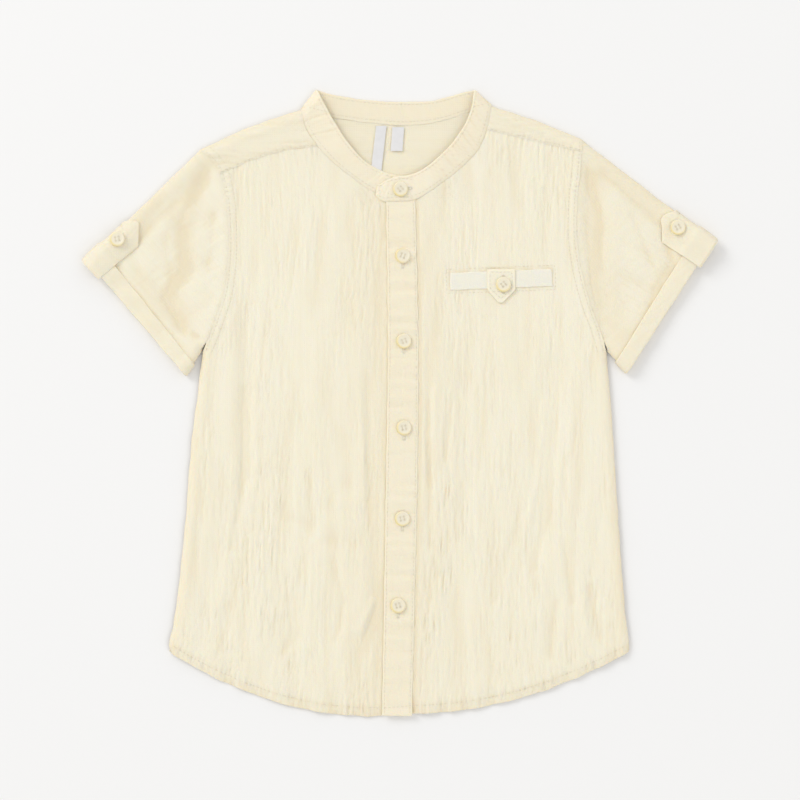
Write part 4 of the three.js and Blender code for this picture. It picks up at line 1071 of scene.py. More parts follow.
def sleeve_place(side, along, place, offset):
    """Points off the sleeve at distances along from its end and place from the top fold, under it below 0."""

    def at(shift_along, shift_place):
        s, a = place + shift_place, along + shift_along
        layer = np.where(s >= 0, 1, -1)
        across = np.abs(s) / sleeve_width(side, a)
        return sleeve_middle(side, layer, a, across)

    reach = 0.35
    across = at(0, reach) - at(0, -reach)
    lengthwise = at(reach, 0) - at(-reach, 0)
    normal = np.cross(lengthwise, across) * turn_of(side)
    normal /= np.linalg.norm(normal, axis=-1, keepdims=True)
    return at(0, 0) + normal * offset[..., None], normal


def tab_rows(side):
    """Half width of the tab, and its sections from inside the cuff to its point.

    Each section has its distance from the sleeve's end, its height off the sleeve, its share of
    the full width and how far it wraps round the top fold.
    """
    tab, cuff = TAB[side], CUFF[side]["top"]
    shoulder, wrap = tab["shoulder"], tab["wrap"]
    over = 2 * CUFF_LIFT + 0.1
    straight = [
        (-0.9, 0.9), (-1.1, 2.1), (0.2, over), (INSIDE_CUFF, over), (cuff * 0.5, over), (cuff, over),
        (cuff + 4, 1.7), (cuff + 9, 1.45), (shoulder, 1.4),
    ]
    rows = [(along, height, 1, wrap) for along, height in straight]
    for at, around in ((0.15, 1.85), (0.3, 0.88), (0.45, 0), (0.72, -1.76), (0.94, -4), (1, -5)):
        rows.append((lerp(shoulder, tab["tip"], at), 1.5, 1 - 0.93 * at, around))
    return (tab["front"] + tab["wrap"]) / 2, np.array(rows, float)


def build_sleeve_tab(side):
    """The pointed tab that holds a cuff, from inside it over the top fold to its button."""
    half, rows = tab_rows(side)
    middle_place = (TAB[side]["front"] - TAB[side]["wrap"]) / 2
    knots = np.linspace(0, len(rows) - 1, 81)
    values = np.stack([np.interp(knots, np.arange(len(rows)), rows[:, k]) for k in range(4)], 1)
    along, offset, width, wrap = (values[:, k][:, None] for k in range(4))
    share, thin = edged(2 * half, 0.9)
    low = np.maximum(middle_place - half * width, -wrap)
    high = middle_place + half * width
    place = lerp(low, high, share[None, :])
    wave = crinkle(place + 15, along * 0.8 + 333, 0.3)
    edge = np.minimum(share, 1 - share)[None, :] * 2 * half
    settled = 0.25 * bell(edge, 1.6)
    lift = offset + 0.1 + np.maximum(wave, -0.2) - settled
    points, _ = sleeve_place(side, np.broadcast_to(along, place.shape), place, lift)
    ends = np.ones(len(knots))
    ends[-3:] = [0.9, 0.6, 0.3]
    facing = 1.0 if (grid_normals(points)[..., 2] * (place > 3)).sum() > 0 else -1.0
    return shell(
        "sleeve_tab_" + side, warp(points), CLOTH - 0.1, TRIM, "gauze_trim",
        facing=facing, thin=np.outer(ends, thin), added_shade_and_tone=0.3,
    )


# Spans of the band with their layer and side, and the extra steps where it rounds a fold
COLLAR_SPANS = ((COLLAR_UNDER, 1, "right"), (COLLAR_BACK, -1, "left"), (COLLAR_OVER, 1, "left"))
COLLAR_FOLD_STEPS = np.array([0.01, 0.03, 0.06, 0.1, 0.15, 0.22])


def collar_sections():
    """Ends of the band's sections in order from the underlap to the overlap, with the layer of each."""
    seams, tops, layers, sides = [], [], [], []
    for rows, layer, side in COLLAR_SPANS:
        seam, top = through([row[0] for row in rows]), through([row[1] for row in rows])
        last = len(rows) - 1
        steps = np.linspace(0, last, 100)
        if layer > 0:
            fold = last if side == "right" else 0
            steps = np.sort(np.r_[steps, np.abs(fold - COLLAR_FOLD_STEPS)])
        ends = np.stack([seam(steps), top(steps)])
        first = 1 if seams else 0
        seams.append(ends[0, first:])
        tops.append(ends[1, first:])
        layers.append(np.full(len(steps) - first, layer))
        sides.append(np.full(len(steps) - first, side))
    return np.vstack(seams), np.vstack(tops), np.concatenate(layers), np.concatenate(sides)


def collar_height(x, y, v, layer, side):
    """Height of the band's middle: it lies on the fronts and rises to its free edge."""
    if layer < 0:
        return lower_height(x, y) + (BAND - CLOTH) / 2
    away = -18 - x if side == "right" else x - 14
    lapped = 0.2 if side == "right" else lerp(0.5, 0.2, smooth(away / 26))
    rise = BAND_RISE * v * smooth(away / 24) * smooth(fold_distance(x, y) / FOLD_REACH)
    return upper_height(x, y, side) + lapped + rise


def build_collar():
    """The band, from its underlap round the back of the neck to its overlap."""
    seam, top, layer, side = collar_sections()
    upper = (layer > 0)[:, None]
    v, thin = edged(COLLAR_WIDTH, 0.8)
    outward = (seam - top) / np.linalg.norm(seam - top, axis=1, keepdims=True)
    seam = seam + outward * COLLAR_LAP
    xy = lerp(seam[:, None], top[:, None], v[None, :, None])
    x, y = xy[..., 0], xy[..., 1]
    z = np.zeros(x.shape)
    for _, span_layer, span_side in COLLAR_SPANS:
        mine = (layer == span_layer) & (side == span_side)
        z[mine] = collar_height(x[mine], y[mine], v[None, :], span_layer, span_side)
    for tip in COLLAR_TIP.values():
        z[np.linalg.norm(top - tip, axis=1) < 0.01] = FOLD_MID
    middle_line = (seam + top) / 2
    arc = np.r_[0, np.cumsum(np.linalg.norm(np.diff(middle_line, axis=0), axis=1))]
    wave = crinkle(arc[:, None] * 0.8 + v[None, :] * 5 + 20, v[None, :] * 9 + 500, 0.5)
    low = np.where(upper, wave, np.maximum(wave, -0.1))
    from_seam = v[None, :] * COLLAR_WIDTH
    stitched = 0.14 * bell(np.minimum(from_seam, COLLAR_WIDTH - from_seam) - 2, 0.8)
    past = smooth((-9 - x) / 6) * (upper & (side == "left")[:, None])
    sunk = 0.5 * bell(from_seam, 1.1) * upper
    z += smooth(fold_distance(x, y) / 6) * (2.0 * low - stitched) - sunk - 0.7 * past
    # Painted shade along the neck seam and in the crinkle's hollows of the band's front spans, over an even
    # deeper tone; the back span gets an even deeper tone only
    added_shade_and_tone = np.where(upper, 0.24 + 0.35 * bell(from_seam, 1.3) + 0.5 * np.clip(-low / 0.25, 0, 1), 0.45)
    middle = np.dstack([x, y, z])
    ends = np.ones(len(arc))
    ends[:4], ends[-4:] = EDGE_THIN, EDGE_THIN[::-1]
    facing = 1.0 if (grid_normals(middle)[..., 2] * upper).sum() > 0 else -1.0
    return shell(
        "collar", warp(middle), BAND - 0.2, TRIM, "gauze_trim",
        facing=facing, thin=np.outer(ends, thin), added_shade_and_tone=added_shade_and_tone,
    )


def placket_edges(y):
    """The placket's left and right edges, as x at y."""
    steps = np.linspace(1, 0, 200)
    left, right = (curve([(row[k], row[0]) for row in PLACKET])(steps) for k in (1, 2))
    return np.interp(y, left[:, 1], left[:, 0]), np.interp(y, right[:, 1], right[:, 0])


def placket_height(x, y):
    """Height of the strip's middle, with slight waves between the buttons."""
    left, right = placket_edges(y)
    place = (x - left) / (right - left)
    wave = crinkle(y * 0.8 + 260, x * 1.6 + 140, 0.32) + crinkle(x + 90, y + 640, 0.25)
    pull = np.zeros(x.shape)
    for _, bx, by in FRONT_BUTTONS[1:]:
        away = np.hypot(x - bx, (y - by) / 1.4)
        pull -= 0.25 * bell(away, 7)
    edge = np.minimum(place, 1 - place) * (right - left)
    stitched = -0.16 * bell(edge - 1.6, 0.7)
    roll = 0.16 * sample("broad", y * 1.5 + 70, x * 0.4) + 0.12 * sample("ridge", y * 0.55 + 190, x * 0.5)
    return PLACKET_MID + 1.1 * wave + roll + pull + stitched - 0.5 * smooth((y - 149) / 1.5)


def build_placket():
    """The placket strip, on top of both fronts and with its upper end under the collar."""
    low, high = PLACKET[-1][0], PLACKET[0][0]
    rows, along_thin = edged(high - low, 1.4)
    share, thin = edged(PLACKET_WIDTH, 0.8)
    y = np.repeat(lerp(low, high + PLACKET_UNDER_COLLAR, rows)[:, None], len(share), 1)
    left, right = placket_edges(y)
    x = lerp(left, right + PLACKET_LAP, share[None, :])
    middle = np.dstack([x, y, placket_height(x, y)])
    return shell(
        "placket", warp(middle), BAND - 0.3, TRIM, "gauze_trim", thin=np.outer(along_thin, thin), added_shade_and_tone=0.34,
    )


WELT_WALL = 0.8
WELT_LIFT = CLOTH / 2 + 0.1 + WELT_WALL / 2
TAB_LIFT = WELT_LIFT + WELT_WALL / 2 + 0.5


def welt_point(along, up):
    """The place at distances along and up the welt from its middle."""
    c, s = math.cos(WELT["turn"]), math.sin(WELT["turn"])
    return WELT["x"] + along * c - up * s, WELT["y"] + along * s + up * c


def build_welt():
    """The welt of the breast pocket, which sags a little at its upper edge."""
    u, thin_u = edged(WELT["length"], 0.9)
    v, thin_v = edged(WELT["width"], 0.8)
    along, up = np.meshgrid((u - 0.5) * WELT["length"], (v - 0.5) * WELT["width"])
    x, y = welt_point(along, up)
    wave = crinkle(along + 333, up * 1.5 + 50, 0.35)
    sag = -0.5 * bell(up - WELT["width"] / 2, 3) * (1 - (2 * along / WELT["length"]) ** 2)
    z = upper_height(x, y, "left") + WELT_LIFT + wave * 0.8 + sag * 0.4
    return shell(
        "pocket_welt", warp(np.dstack([x, y, z])), WELT_WALL - 0.1, WELT_CLOTH, "gauze_trim",
        thin=np.outer(thin_v, thin_u),
    )


def pocket_tab_height(x, y):
    """Height of the tab's middle, over the welt and then down on the front."""
    below = WELT["y"] - WELT["width"] / 2 - 1.2 - y
    return upper_height(x, y, "left") + lerp(TAB_LIFT, CLOTH + 0.5, smooth(below / 8))


# Share of the pocket tab's width at places from its shoulder to its tip
TAB_POINT = ([0, 0.1, 0.3, 0.62, 0.82, 0.93, 1], [1, 0.95, 0.78, 0.48, 0.31, 0.2, 0.07])


def build_pocket_tab():
    """The pointed tab that closes the pocket."""
    rows, along_thin = edged(POCKET_TAB["top"] - POCKET_TAB["tip"], 0.7)
    share, thin = edged(POCKET_TAB["width"], 0.7)
    y = lerp(POCKET_TAB["tip"], POCKET_TAB["top"], rows)[:, None]
    point = (POCKET_TAB["shoulder"] - y) / (POCKET_TAB["shoulder"] - POCKET_TAB["tip"])
    half = 0.5 * np.interp(np.clip(point, 0, 1), *TAB_POINT)
    x = POCKET_TAB["x"] + POCKET_TAB["width"] * half * (2 * share[None, :] - 1)
    y = np.broadcast_to(y, x.shape)
    z = pocket_tab_height(x, y) + crinkle(x + 222, y + 111, 0.35)
    whole = np.outer(along_thin, thin)
    # Painted shade at the tab's rounded edges
    return shell(
        "pocket_tab", warp(np.dstack([x, y, z])), CLOTH - 0.2, TRIM, "gauze_trim",
        thin=whole, added_shade_and_tone=0.5 * (1 - whole),
    )


LABEL_MID = 2.0


def build_label(name, top, bottom, width):
    """A satin ribbon on the inside of the back, sewn in at its top end."""
    rows = np.linspace(0, 1, 31)
    share, thin = edged(width, 0.8)
    line = lerp(np.array(bottom, float), np.array(top, float), rows[:, None])
    xy = line[:, None] + np.array([1, 0]) * ((share - 0.5) * width)[None, :, None]
    x, y = xy[..., 0], xy[..., 1]
    curl = 0.25 * (1 - rows[:, None]) ** 2 + 0.12 * np.sin(rows[:, None] * 9 + x * 0.2)
    z = LABEL_MID + under_relief(x, y, turned=True) * 0.6 + curl
    return shell(name, np.dstack([x, y, z]), RIBBON, SATIN, "satin", thin=np.tile(thin, (len(rows), 1)))


# Button: radius of a hole and of the thread that fills it, its distance from both middle lines, the
# number of sides of each round, and the turned profile
BUTTON_HOLE = 0.75
BUTTON_PLUG = 0.72
BUTTON_HOLE_AT = 1.35
BUTTON_SIDES = 56
HOLE_SIDES = 20
PLUG_SIDES = 12
HOLE_CORNERS = ((1, 1), (-1, 1), (-1, -1), (1, -1))
BUTTON_PROFILE = [
    (0.0, 0.0), (4.2, 0.0), (5.1, 0.3), (5.6, 0.75), (5.7, 1.0), (5.6, 1.35), (5.3, 1.7), (4.9, 1.88),
    (4.5, 1.9), (4.1, 1.8), (3.8, 1.7), (3.3, 1.64), (1.8, 1.61), (0.0, 1.6),
]


def lathe(profile, segments):
    """Vertices and faces of a closed turned body about Z."""
    vertices, faces, rings = [], [], []
    for radius, z in profile:
        if radius < 1e-9:
            rings.append([len(vertices)] * segments)
            vertices.append((0, 0, z))
            continue
        rings.append(list(range(len(vertices), len(vertices) + segments)))
        for k in range(segments):
            angle = 2 * math.pi * k / segments
            vertices.append((radius * math.cos(angle), radius * math.sin(angle), z))
    for low, high in zip(rings[:-1], rings[1:]):
        for k in range(segments):
            n = (k + 1) % segments
            corners = [low[k], high[k], high[n], low[n]]
            face = list(dict.fromkeys(corners))
            if len(face) > 2:
                faces.append(face[::-1])
    return vertices, faces


def button_mesh():
    """A four-hole resin button, dished inside its rim."""
    vertices, faces = lathe(BUTTON_PROFILE, BUTTON_SIDES)
    disc = make_object("button_blank", vertices, faces, RESIN)
    drills = []
    hole, sides = lathe([(0, -1), (BUTTON_HOLE, -1), (BUTTON_HOLE, 4), (0, 4)], HOLE_SIDES)
    for x, y in HOLE_CORNERS:
        place = np.array([x * BUTTON_HOLE_AT, y * BUTTON_HOLE_AT, 0])
        drills.append(make_object("drill", np.array(hole, float) + place, sides, RESIN))
    drill = join("drills", drills)
    cut = disc.modifiers.new("holes", "BOOLEAN")
    cut.operation = "DIFFERENCE"
    cut.solver = "EXACT"
    cut.object = drill
    bpy.context.view_layer.update()
    made = bpy.data.meshes.new_from_object(disc.evaluated_get(bpy.context.evaluated_depsgraph_get()))
    bpy.data.objects.remove(disc)
    bpy.data.objects.remove(drill)
    made.name = "button"
    # Painted shade: the outer rim gets a deeper, yellower colour along one side only
    rim = []
    for v in made.vertices:
        radius, angle = math.hypot(v.co.x, v.co.y) / MM, math.atan2(v.co.y, v.co.x)
        rim.append(smooth((radius - 3.7) / 1.3) * (0.5 + 0.5 * math.cos(angle - math.radians(205))))
    field = made.attributes.new("shade_and_tone", "FLOAT", "POINT")
    field.data.foreach_set("value", np.array(rim, np.float32))
    made.polygons.foreach_set("use_smooth", np.ones(len(made.polygons), bool))
    made.set_sharp_from_angle(angle=BUTTON_SHARP)
    return made


# Stitches: length, gap, width, height, how deep their ends are sunk, and the greatest step under one
SEAM_STITCH = 2.3
STITCH_GAP = 0.75
STITCH_WIDTH = 0.5
STITCH_HEIGHT = 0.26
STITCH_SUNK = 0.12
STITCH_STEP = 1.2


def capsules(name, starts, ends, ups, width, height, material, sections=3):
    """Short threads from starts to ends, bulging to width and height in the middle and sunk at their ends."""
    starts, ends, ups = (np.asarray(a, float) for a in (starts, ends, ups))
    along = ends - starts
    length = np.linalg.norm(along, axis=1, keepdims=True)
    along /= length
    side = np.cross(ups, along)
    side /= np.linalg.norm(side, axis=1, keepdims=True)
    up = np.cross(along, side)
    profile = [(-1.0, 0.0), (-0.7, 0.75), (0.0, 1.0), (0.7, 0.75), (1.0, 0.0)]
    stations = np.linspace(0, 1, sections + 2)
    swell = np.sin(np.pi * np.clip(stations, 0.06, 0.94)) ** 0.5
    vertices, faces = [], []
    per = len(stations) * len(profile)
    for t, s in zip(stations, swell):
        for px, pz in profile:
            across = side * (px * width / 2 * s)
            vertices.append(starts + along * length * t + across + up * (pz * height * s - STITCH_SUNK))
    vertices = np.stack(vertices, 1).reshape(-1, 3)
    base = np.arange(len(starts))[:, None] * per
    for i in range(len(stations) - 1):
        for k in range(len(profile) - 1):
            a = i * len(profile) + k
            quad = np.array([a, a + 1, a + 1 + len(profile), a + len(profile)])
            faces.append(base + quad)
    ring = np.arange(len(profile))
    faces += [base + ring[::-1], base + (len(stations) - 1) * len(profile) + ring]
    return make_object(name, vertices, [face for part in faces for face in part], material)


def surface_tree(objects):
    """All the cloth as one body that a line can be dropped on."""
    vertices, faces = [], []
    for item in objects:
        start = len(vertices)
        vertices += [tuple(v.co / MM) for v in item.data.vertices]
        faces += [[start + i for i in p.vertices] for p in item.data.polygons]
    return BVHTree.FromPolygons(vertices, faces)


# Heights that lie well under and well over all the cloth
FAR_BELOW = -5
FAR_ABOVE = 40


def drop(tree, x, y, below=False):
    """The place and the normal of the cloth above or below x, y; None where there is no cloth."""
    start, way = (FAR_BELOW, 1) if below else (FAR_ABOVE, -1)
    place, normal, _, _ = tree.ray_cast(Vector((x, y, start)), Vector((0, 0, way)))
    if place is None:
        return None
    return np.array(place), np.array(normal) * (-1 if below and normal.z > 0 else 1)


def stitch_row(tree, line, below):
    """Starts, ends and normals of the stitches along a line of x and y."""
    line = np.asarray(line, float)
    steps = np.r_[0, np.cumsum(np.linalg.norm(np.diff(line, axis=0), axis=1))]
    rows = []
    at = STITCH_GAP
    while at + SEAM_STITCH < steps[-1]:
        ends = []
        for s in (at, at + SEAM_STITCH):
            hit = drop(tree, np.interp(s, steps, line[:, 0]), np.interp(s, steps, line[:, 1]), below)
            if hit is not None:
                ends.append(hit)
        if len(ends) == 2 and abs(ends[0][0][2] - ends[1][0][2]) < STITCH_STEP:
            rows.append((ends[0][0], ends[1][0], ends[0][1] + ends[1][1]))
        at += (SEAM_STITCH + STITCH_GAP) * rng.uniform(0.94, 1.06)
    return rows


def sewn(name, tree, lines, node, below=False):
    """One piece of thread for the rows of stitches along lines, which belongs to a node."""
    rows = [row for line in lines for row in stitch_row(tree, line, below)]
    starts, ends, ups = (np.array([row[k] for row in rows]) for k in range(3))
    piece = capsules(name, starts, ends, ups, STITCH_WIDTH, STITCH_HEIGHT, THREAD)
    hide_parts(node)
    return piece


def shifted(line, distance):
    """A line moved sideways to its left by a distance."""
    line = np.asarray(line, float)
    along = np.gradient(line, axis=0)
    along /= np.linalg.norm(along, axis=1, keepdims=True)
    return line + np.stack([-along[:, 1], along[:, 0]], 1) * distance


def nodes_of(name):
    """A new material with its nodes, its links and its shader."""
    material = bpy.data.materials.new(name)
    material.use_nodes = True
    tree = material.node_tree
    return material, tree.nodes, tree.links, tree.nodes["Principled BSDF"]


def math_node(nodes, links, operation, first, second):
    node = nodes.new("ShaderNodeMath")
    node.operation = operation
    for k, value in enumerate((first, second)):
        if isinstance(value, (int, float)):
            node.inputs[k].default_value = value
        else:
            links.new(value, node.inputs[k])
    return node.outputs[0]


def mixed(nodes, links, first, second, factor):
    """A mix of two colours, each a value or a socket."""
    node = nodes.new("ShaderNodeMix")
    node.data_type = "RGBA"
    for key, value in (("A", first), ("B", second)):
        if isinstance(value, tuple):
            node.inputs[key].default_value = (*value, 1)
        else:
            links.new(value, node.inputs[key])
    links.new(factor, node.inputs["Factor"])
    return node.outputs["Result"]


def shade_and_tone_socket(nodes):
    """The painted shade and even deeper tone that each piece keeps at its points."""
    attribute = nodes.new("ShaderNodeAttribute")
    attribute.attribute_name = "shade_and_tone"
    return attribute.outputs["Fac"]


def woven(name, color, shade, turn=0.0, streaks=0.6, weave=0.55, slub=0.5, roughness=0.86, sheen=0.25):
    """Cotton cloth: a plain weave of soft threads with slubs, slightly uneven colour, and painted shade mixed
    in where a piece keeps it.
    """
    material, nodes, links, shader = nodes_of(name)
    turned = nodes.new("ShaderNodeMapping")
    turned.inputs["Rotation"].default_value = (0, 0, turn)
    links.new(nodes.new("ShaderNodeTexCoord").outputs["Object"], turned.inputs["Vector"])
    place = turned.outputs["Vector"]

    def noise(scale, detail, stretch_to):
        mapping = nodes.new("ShaderNodeMapping")
        mapping.inputs["Scale"].default_value = stretch_to
        links.new(place, mapping.inputs["Vector"])
        texture = nodes.new("ShaderNodeTexNoise")
        texture.inputs["Scale"].default_value = scale
        texture.inputs["Detail"].default_value = detail
        links.new(mapping.outputs["Vector"], texture.inputs["Vector"])
        return texture.outputs["Fac"]

    def threads(direction, scale):
        texture = nodes.new("ShaderNodeTexWave")
        texture.wave_type = "BANDS"
        texture.bands_direction = direction
        texture.inputs["Scale"].default_value = scale
        texture.inputs["Distortion"].default_value = 1.6
        texture.inputs["Detail"].default_value = 1.0
        texture.inputs["Detail Scale"].default_value = 0.6
        links.new(place, texture.inputs["Vector"])
        return texture.outputs["Fac"]

    patches = noise(9.0, 3.0, (1, 1, 1))
    fine = noise(340.0, 2.0, (1, 0.06, 1))
    blend = math_node(nodes, links, "MULTIPLY_ADD", patches, 0.7)
    blend.node.inputs[2].default_value = 0.25
    grain = math_node(nodes, links, "MULTIPLY", math_node(nodes, links, "SUBTRACT", fine, 0.5), 2 * streaks)
    base = mixed(nodes, links, shade, color, math_node(nodes, links, "ADD", blend, grain))
    # Painted shade: the cream is mixed towards the darker, warmer shade cream by half of the shade and tone
    # that each piece keeps
    shade_and_tone = math_node(nodes, links, "MULTIPLY", shade_and_tone_socket(nodes), 0.5)
    links.new(mixed(nodes, links, base, PAINTED_SHADE_CREAM, shade_and_tone), shader.inputs["Base Color"])

    warp_threads = threads("X", 190.0)
    weft_threads = threads("Y", 190.0)
    crossing = math_node(nodes, links, "ADD", warp_threads, weft_threads)
    lumps = noise(700.0, 2.0, (1, 0.3, 1))
    height = math_node(nodes, links, "MULTIPLY", crossing, weave)
    slubs = math_node(nodes, links, "MULTIPLY", lumps, slub * 2)
    surface = math_node(nodes, links, "ADD", height, slubs)
    bump = nodes.new("ShaderNodeBump")
    bump.inputs["Strength"].default_value = 0.5
    bump.inputs["Distance"].default_value = 0.00012
    links.new(surface, bump.inputs["Height"])
    links.new(bump.outputs["Normal"], shader.inputs["Normal"])
    shader.inputs["Roughness"].default_value = roughness
    shader.inputs["Specular IOR Level"].default_value = 0.25
    shader.inputs["Sheen Weight"].default_value = sheen
    shader.inputs["Sheen Roughness"].default_value = 0.5
    shader.inputs["Subsurface Weight"].default_value = 0.35
    shader.inputs["Subsurface Scale"].default_value = 0.0022
    shader.inputs["Subsurface Radius"].default_value = (1.0, 0.75, 0.45)
    return material


def plain(name, color, roughness, specular=0.5, coat=0.0, sheen=0.0, glow=0.0):
    """A smooth finish with slightly uneven colour, and painted shade mixed in where a piece keeps it."""
    material, nodes, links, shader = nodes_of(name)
    place = nodes.new("ShaderNodeTexCoord").outputs["Object"]
    texture = nodes.new("ShaderNodeTexNoise")
    texture.inputs["Scale"].default_value = 240.0
    texture.inputs["Detail"].default_value = 2.0
    links.new(place, texture.inputs["Vector"])
    darker = tuple(0.88 * c for c in color)
    # deeper is the painted shade colour, a darker and yellower tone mixed in where a piece keeps painted
    # shade
    deeper = tuple(c * d for c, d in zip(color, (0.94, 0.86, 0.56)))
    base = mixed(nodes, links, darker, color, texture.outputs["Fac"])
    links.new(mixed(nodes, links, base, deeper, shade_and_tone_socket(nodes)), shader.inputs["Base Color"])
    shader.inputs["Roughness"].default_value = roughness
    shader.inputs["Specular IOR Level"].default_value = specular
    shader.inputs["Coat Weight"].default_value = coat
    shader.inputs["Coat Roughness"].default_value = 0.12
    shader.inputs["Subsurface Weight"].default_value = glow
    shader.inputs["Subsurface Scale"].default_value = 0.003
    shader.inputs["Subsurface Radius"].default_value = (1.0, 0.85, 0.6)
    shader.inputs["Sheen Weight"].default_value = sheen
    return material


# Colours and materials
CREAM = (0.925, 0.856, 0.704)
CREAM_SHADE = (0.892, 0.812, 0.628)
PALE = (0.92, 0.86, 0.72)
# The darker, warmer cream mixed into the gauze for painted shade
PAINTED_SHADE_CREAM = (0.78, 0.635, 0.41)
GAUZE = woven("gauze", CREAM, CREAM_SHADE)
GAUZE_TURNED = {
    "right": woven("gauze_right", CREAM, CREAM_SHADE, turn=math.radians(-44)),
    "left": woven("gauze_left", CREAM, CREAM_SHADE, turn=math.radians(52)),
    "yoke": woven("gauze_yoke", CREAM, CREAM_SHADE, turn=math.radians(90)),
}
TRIM = woven("gauze_trim", CREAM, CREAM_SHADE, streaks=0.25, weave=0.5, slub=0.4)
WELT_CLOTH = woven("gauze_welt", PALE, CREAM, streaks=0.2, weave=0.5, slub=0.4)
SATIN = plain("satin", (0.80, 0.79, 0.785), 0.4, sheen=0.1)
RESIN = plain("resin", (0.91, 0.835, 0.655), 0.36, coat=0.1, glow=0.15)
THREAD = plain("thread", (0.87, 0.77, 0.56), 0.7, specular=0.3, sheen=0.2, glow=0.3)
HOLE_THREAD = plain("buttonhole_thread", (0.87, 0.79, 0.60), 0.75, specular=0.2, glow=0.3)


def build_cloth():
    """The cloth pieces, each for its own node of the solids."""
    cloth = {"back": build_back()}
    for side in SIDES:
        cloth["front_" + side] = build_front(side)
        cloth["sleeve_" + side] = build_sleeve(side)
        cloth["cuff_" + side] = build_cuff(side)
        cloth["sleeve_tab_" + side] = build_sleeve_tab(side)
    cloth["yoke"] = build_yoke()
    cloth["collar"] = build_collar()
    cloth["placket"] = build_placket()
    cloth["pocket_welt"] = build_welt()
    cloth["pocket_tab"] = build_pocket_tab()
    for label in LABELS:
        cloth[label[0]] = build_label(*label)
    for node, piece in cloth.items():
        piece.name = node + "_cloth"
        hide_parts(node)
    return cloth


# How far rows of stitches lie from the edges beside them
ARMHOLE_ROWS = (1.9, 6.3)
YOKE_ROW = 1.5
COLLAR_ROW = 0.12
PLACKET_ROW = 1.6
WELT_ROW = 2.6
TAB_ROW = 2.2


def sew_panels(tree):
    """Thread along the armholes, the yoke and the hems."""
    threads = []
    cut = np.linspace(0, 1, 160)
    for side in SIDES:
        armhole = LINES[side]["armhole"](cut)
        hem = hem_line(side)(cut) + [0, HEM_WIDTH]
        rows = [shifted(armhole, turn_of(side) * away) for away in ARMHOLE_ROWS]
        threads += [
            sewn("stitches_front_" + side, tree, [*rows, hem], "front_" + side),
            sewn("stitches_yoke_" + side, tree, [yoke_line(side)(cut) + [0, YOKE_ROW]], "yoke"),
            sewn("stitches_back_" + side, tree, [hem + [0, BACK_HEM_SHORTER]], "back", below=True),
        ]
    return threads


def sew_trims(tree):
    """Thread along the collar, the placket and the pocket."""
    seam, top, _, _ = collar_sections()
    collar = [lerp(seam, top, COLLAR_ROW), lerp(seam, top, 1 - COLLAR_ROW)]
    y = np.linspace(PLACKET[-1][0] + 1, PLACKET[0][0] - 0.5, 300)
    left, right = placket_edges(y)
    placket = [np.stack([left + PLACKET_ROW, y], 1), np.stack([right + PLACKET_LAP - PLACKET_ROW, y], 1)]
    along, up = WELT["length"] / 2 + WELT_ROW, WELT["width"] / 2 + WELT_ROW
    welt = [welt_point(sx * along, sy * up) for sx, sy in ((-1, -1), (1, -1), (1, 1), (-1, 1), (-1, -1))]
    half, high = POCKET_TAB["width"] / 2 - TAB_ROW, POCKET_TAB["top"] - TAB_ROW
    shoulder, tip = POCKET_TAB["shoulder"] + 0.6, POCKET_TAB["tip"] + TAB_ROW + 1
    outline = [(-half, high), (half, high), (half, shoulder), (0, tip), (-half, shoulder), (-half, high)]
    return [
        sewn("stitches_collar_out", tree, collar, "collar"),
        sewn("stitches_placket", tree, placket, "placket"),
        sewn("stitches_pocket", tree, [welt], "pocket_welt"),
        sewn("stitches_tab", tree, [[(POCKET_TAB["x"] + x, y) for x, y in outline]], "pocket_tab"),
    ]


# Buttonholes: middle and turn, and half the slit's length and width and that of its threads. The
# button sits at the end of the slit that it pulls against.
COLLAR_BUTTON = FRONT_BUTTONS[0]
BUTTONHOLES = [(x, y - 2.6, 0.0) for _, x, y in FRONT_BUTTONS[1:]]
BUTTONHOLES += [(COLLAR_BUTTON[1] + 1.8, COLLAR_BUTTON[2] + 0.6, math.pi / 2), (*POCKET_BUTTON, 0.0)]
HOLE_REACH = 6.2
SLIT_HALF = 0.3
HOLE_HALF = 1.25
HOLE_THREADS = 17


def buttonhole(tree, x, y, turn):
    """Starts, ends and normals of the threads on both sides of a slit, with a bar at each end."""
    rows = []
    for side in (-1, 1):
        for at in np.linspace(-HOLE_REACH, HOLE_REACH, HOLE_THREADS):
            rows.append(((side * SLIT_HALF, at), (side * HOLE_HALF, at + 0.25)))
    bars = (HOLE_REACH + 0.4) * np.array([-1, 1])
    rows += [((-1.3, end + shift), (1.3, end + shift)) for end in bars for shift in (-0.3, 0.3)]
    c, s = math.cos(turn), math.sin(turn)
    found = []
    for row in rows:
        (a, a_up), (b, b_up) = (drop(tree, x + px * c - py * s, y + px * s + py * c) for px, py in row)
        found.append((a, b, a_up + b_up))
    return found


def sew_buttonholes(tree):
    rows = [row for hole in BUTTONHOLES for row in buttonhole(tree, *hole)]
    starts, ends, ups = (np.array([row[k] for row in rows]) for k in range(3))
    piece = capsules("buttonholes", starts, ends, ups, 0.75, 0.24, HOLE_THREAD)
    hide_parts("placket")
    return piece


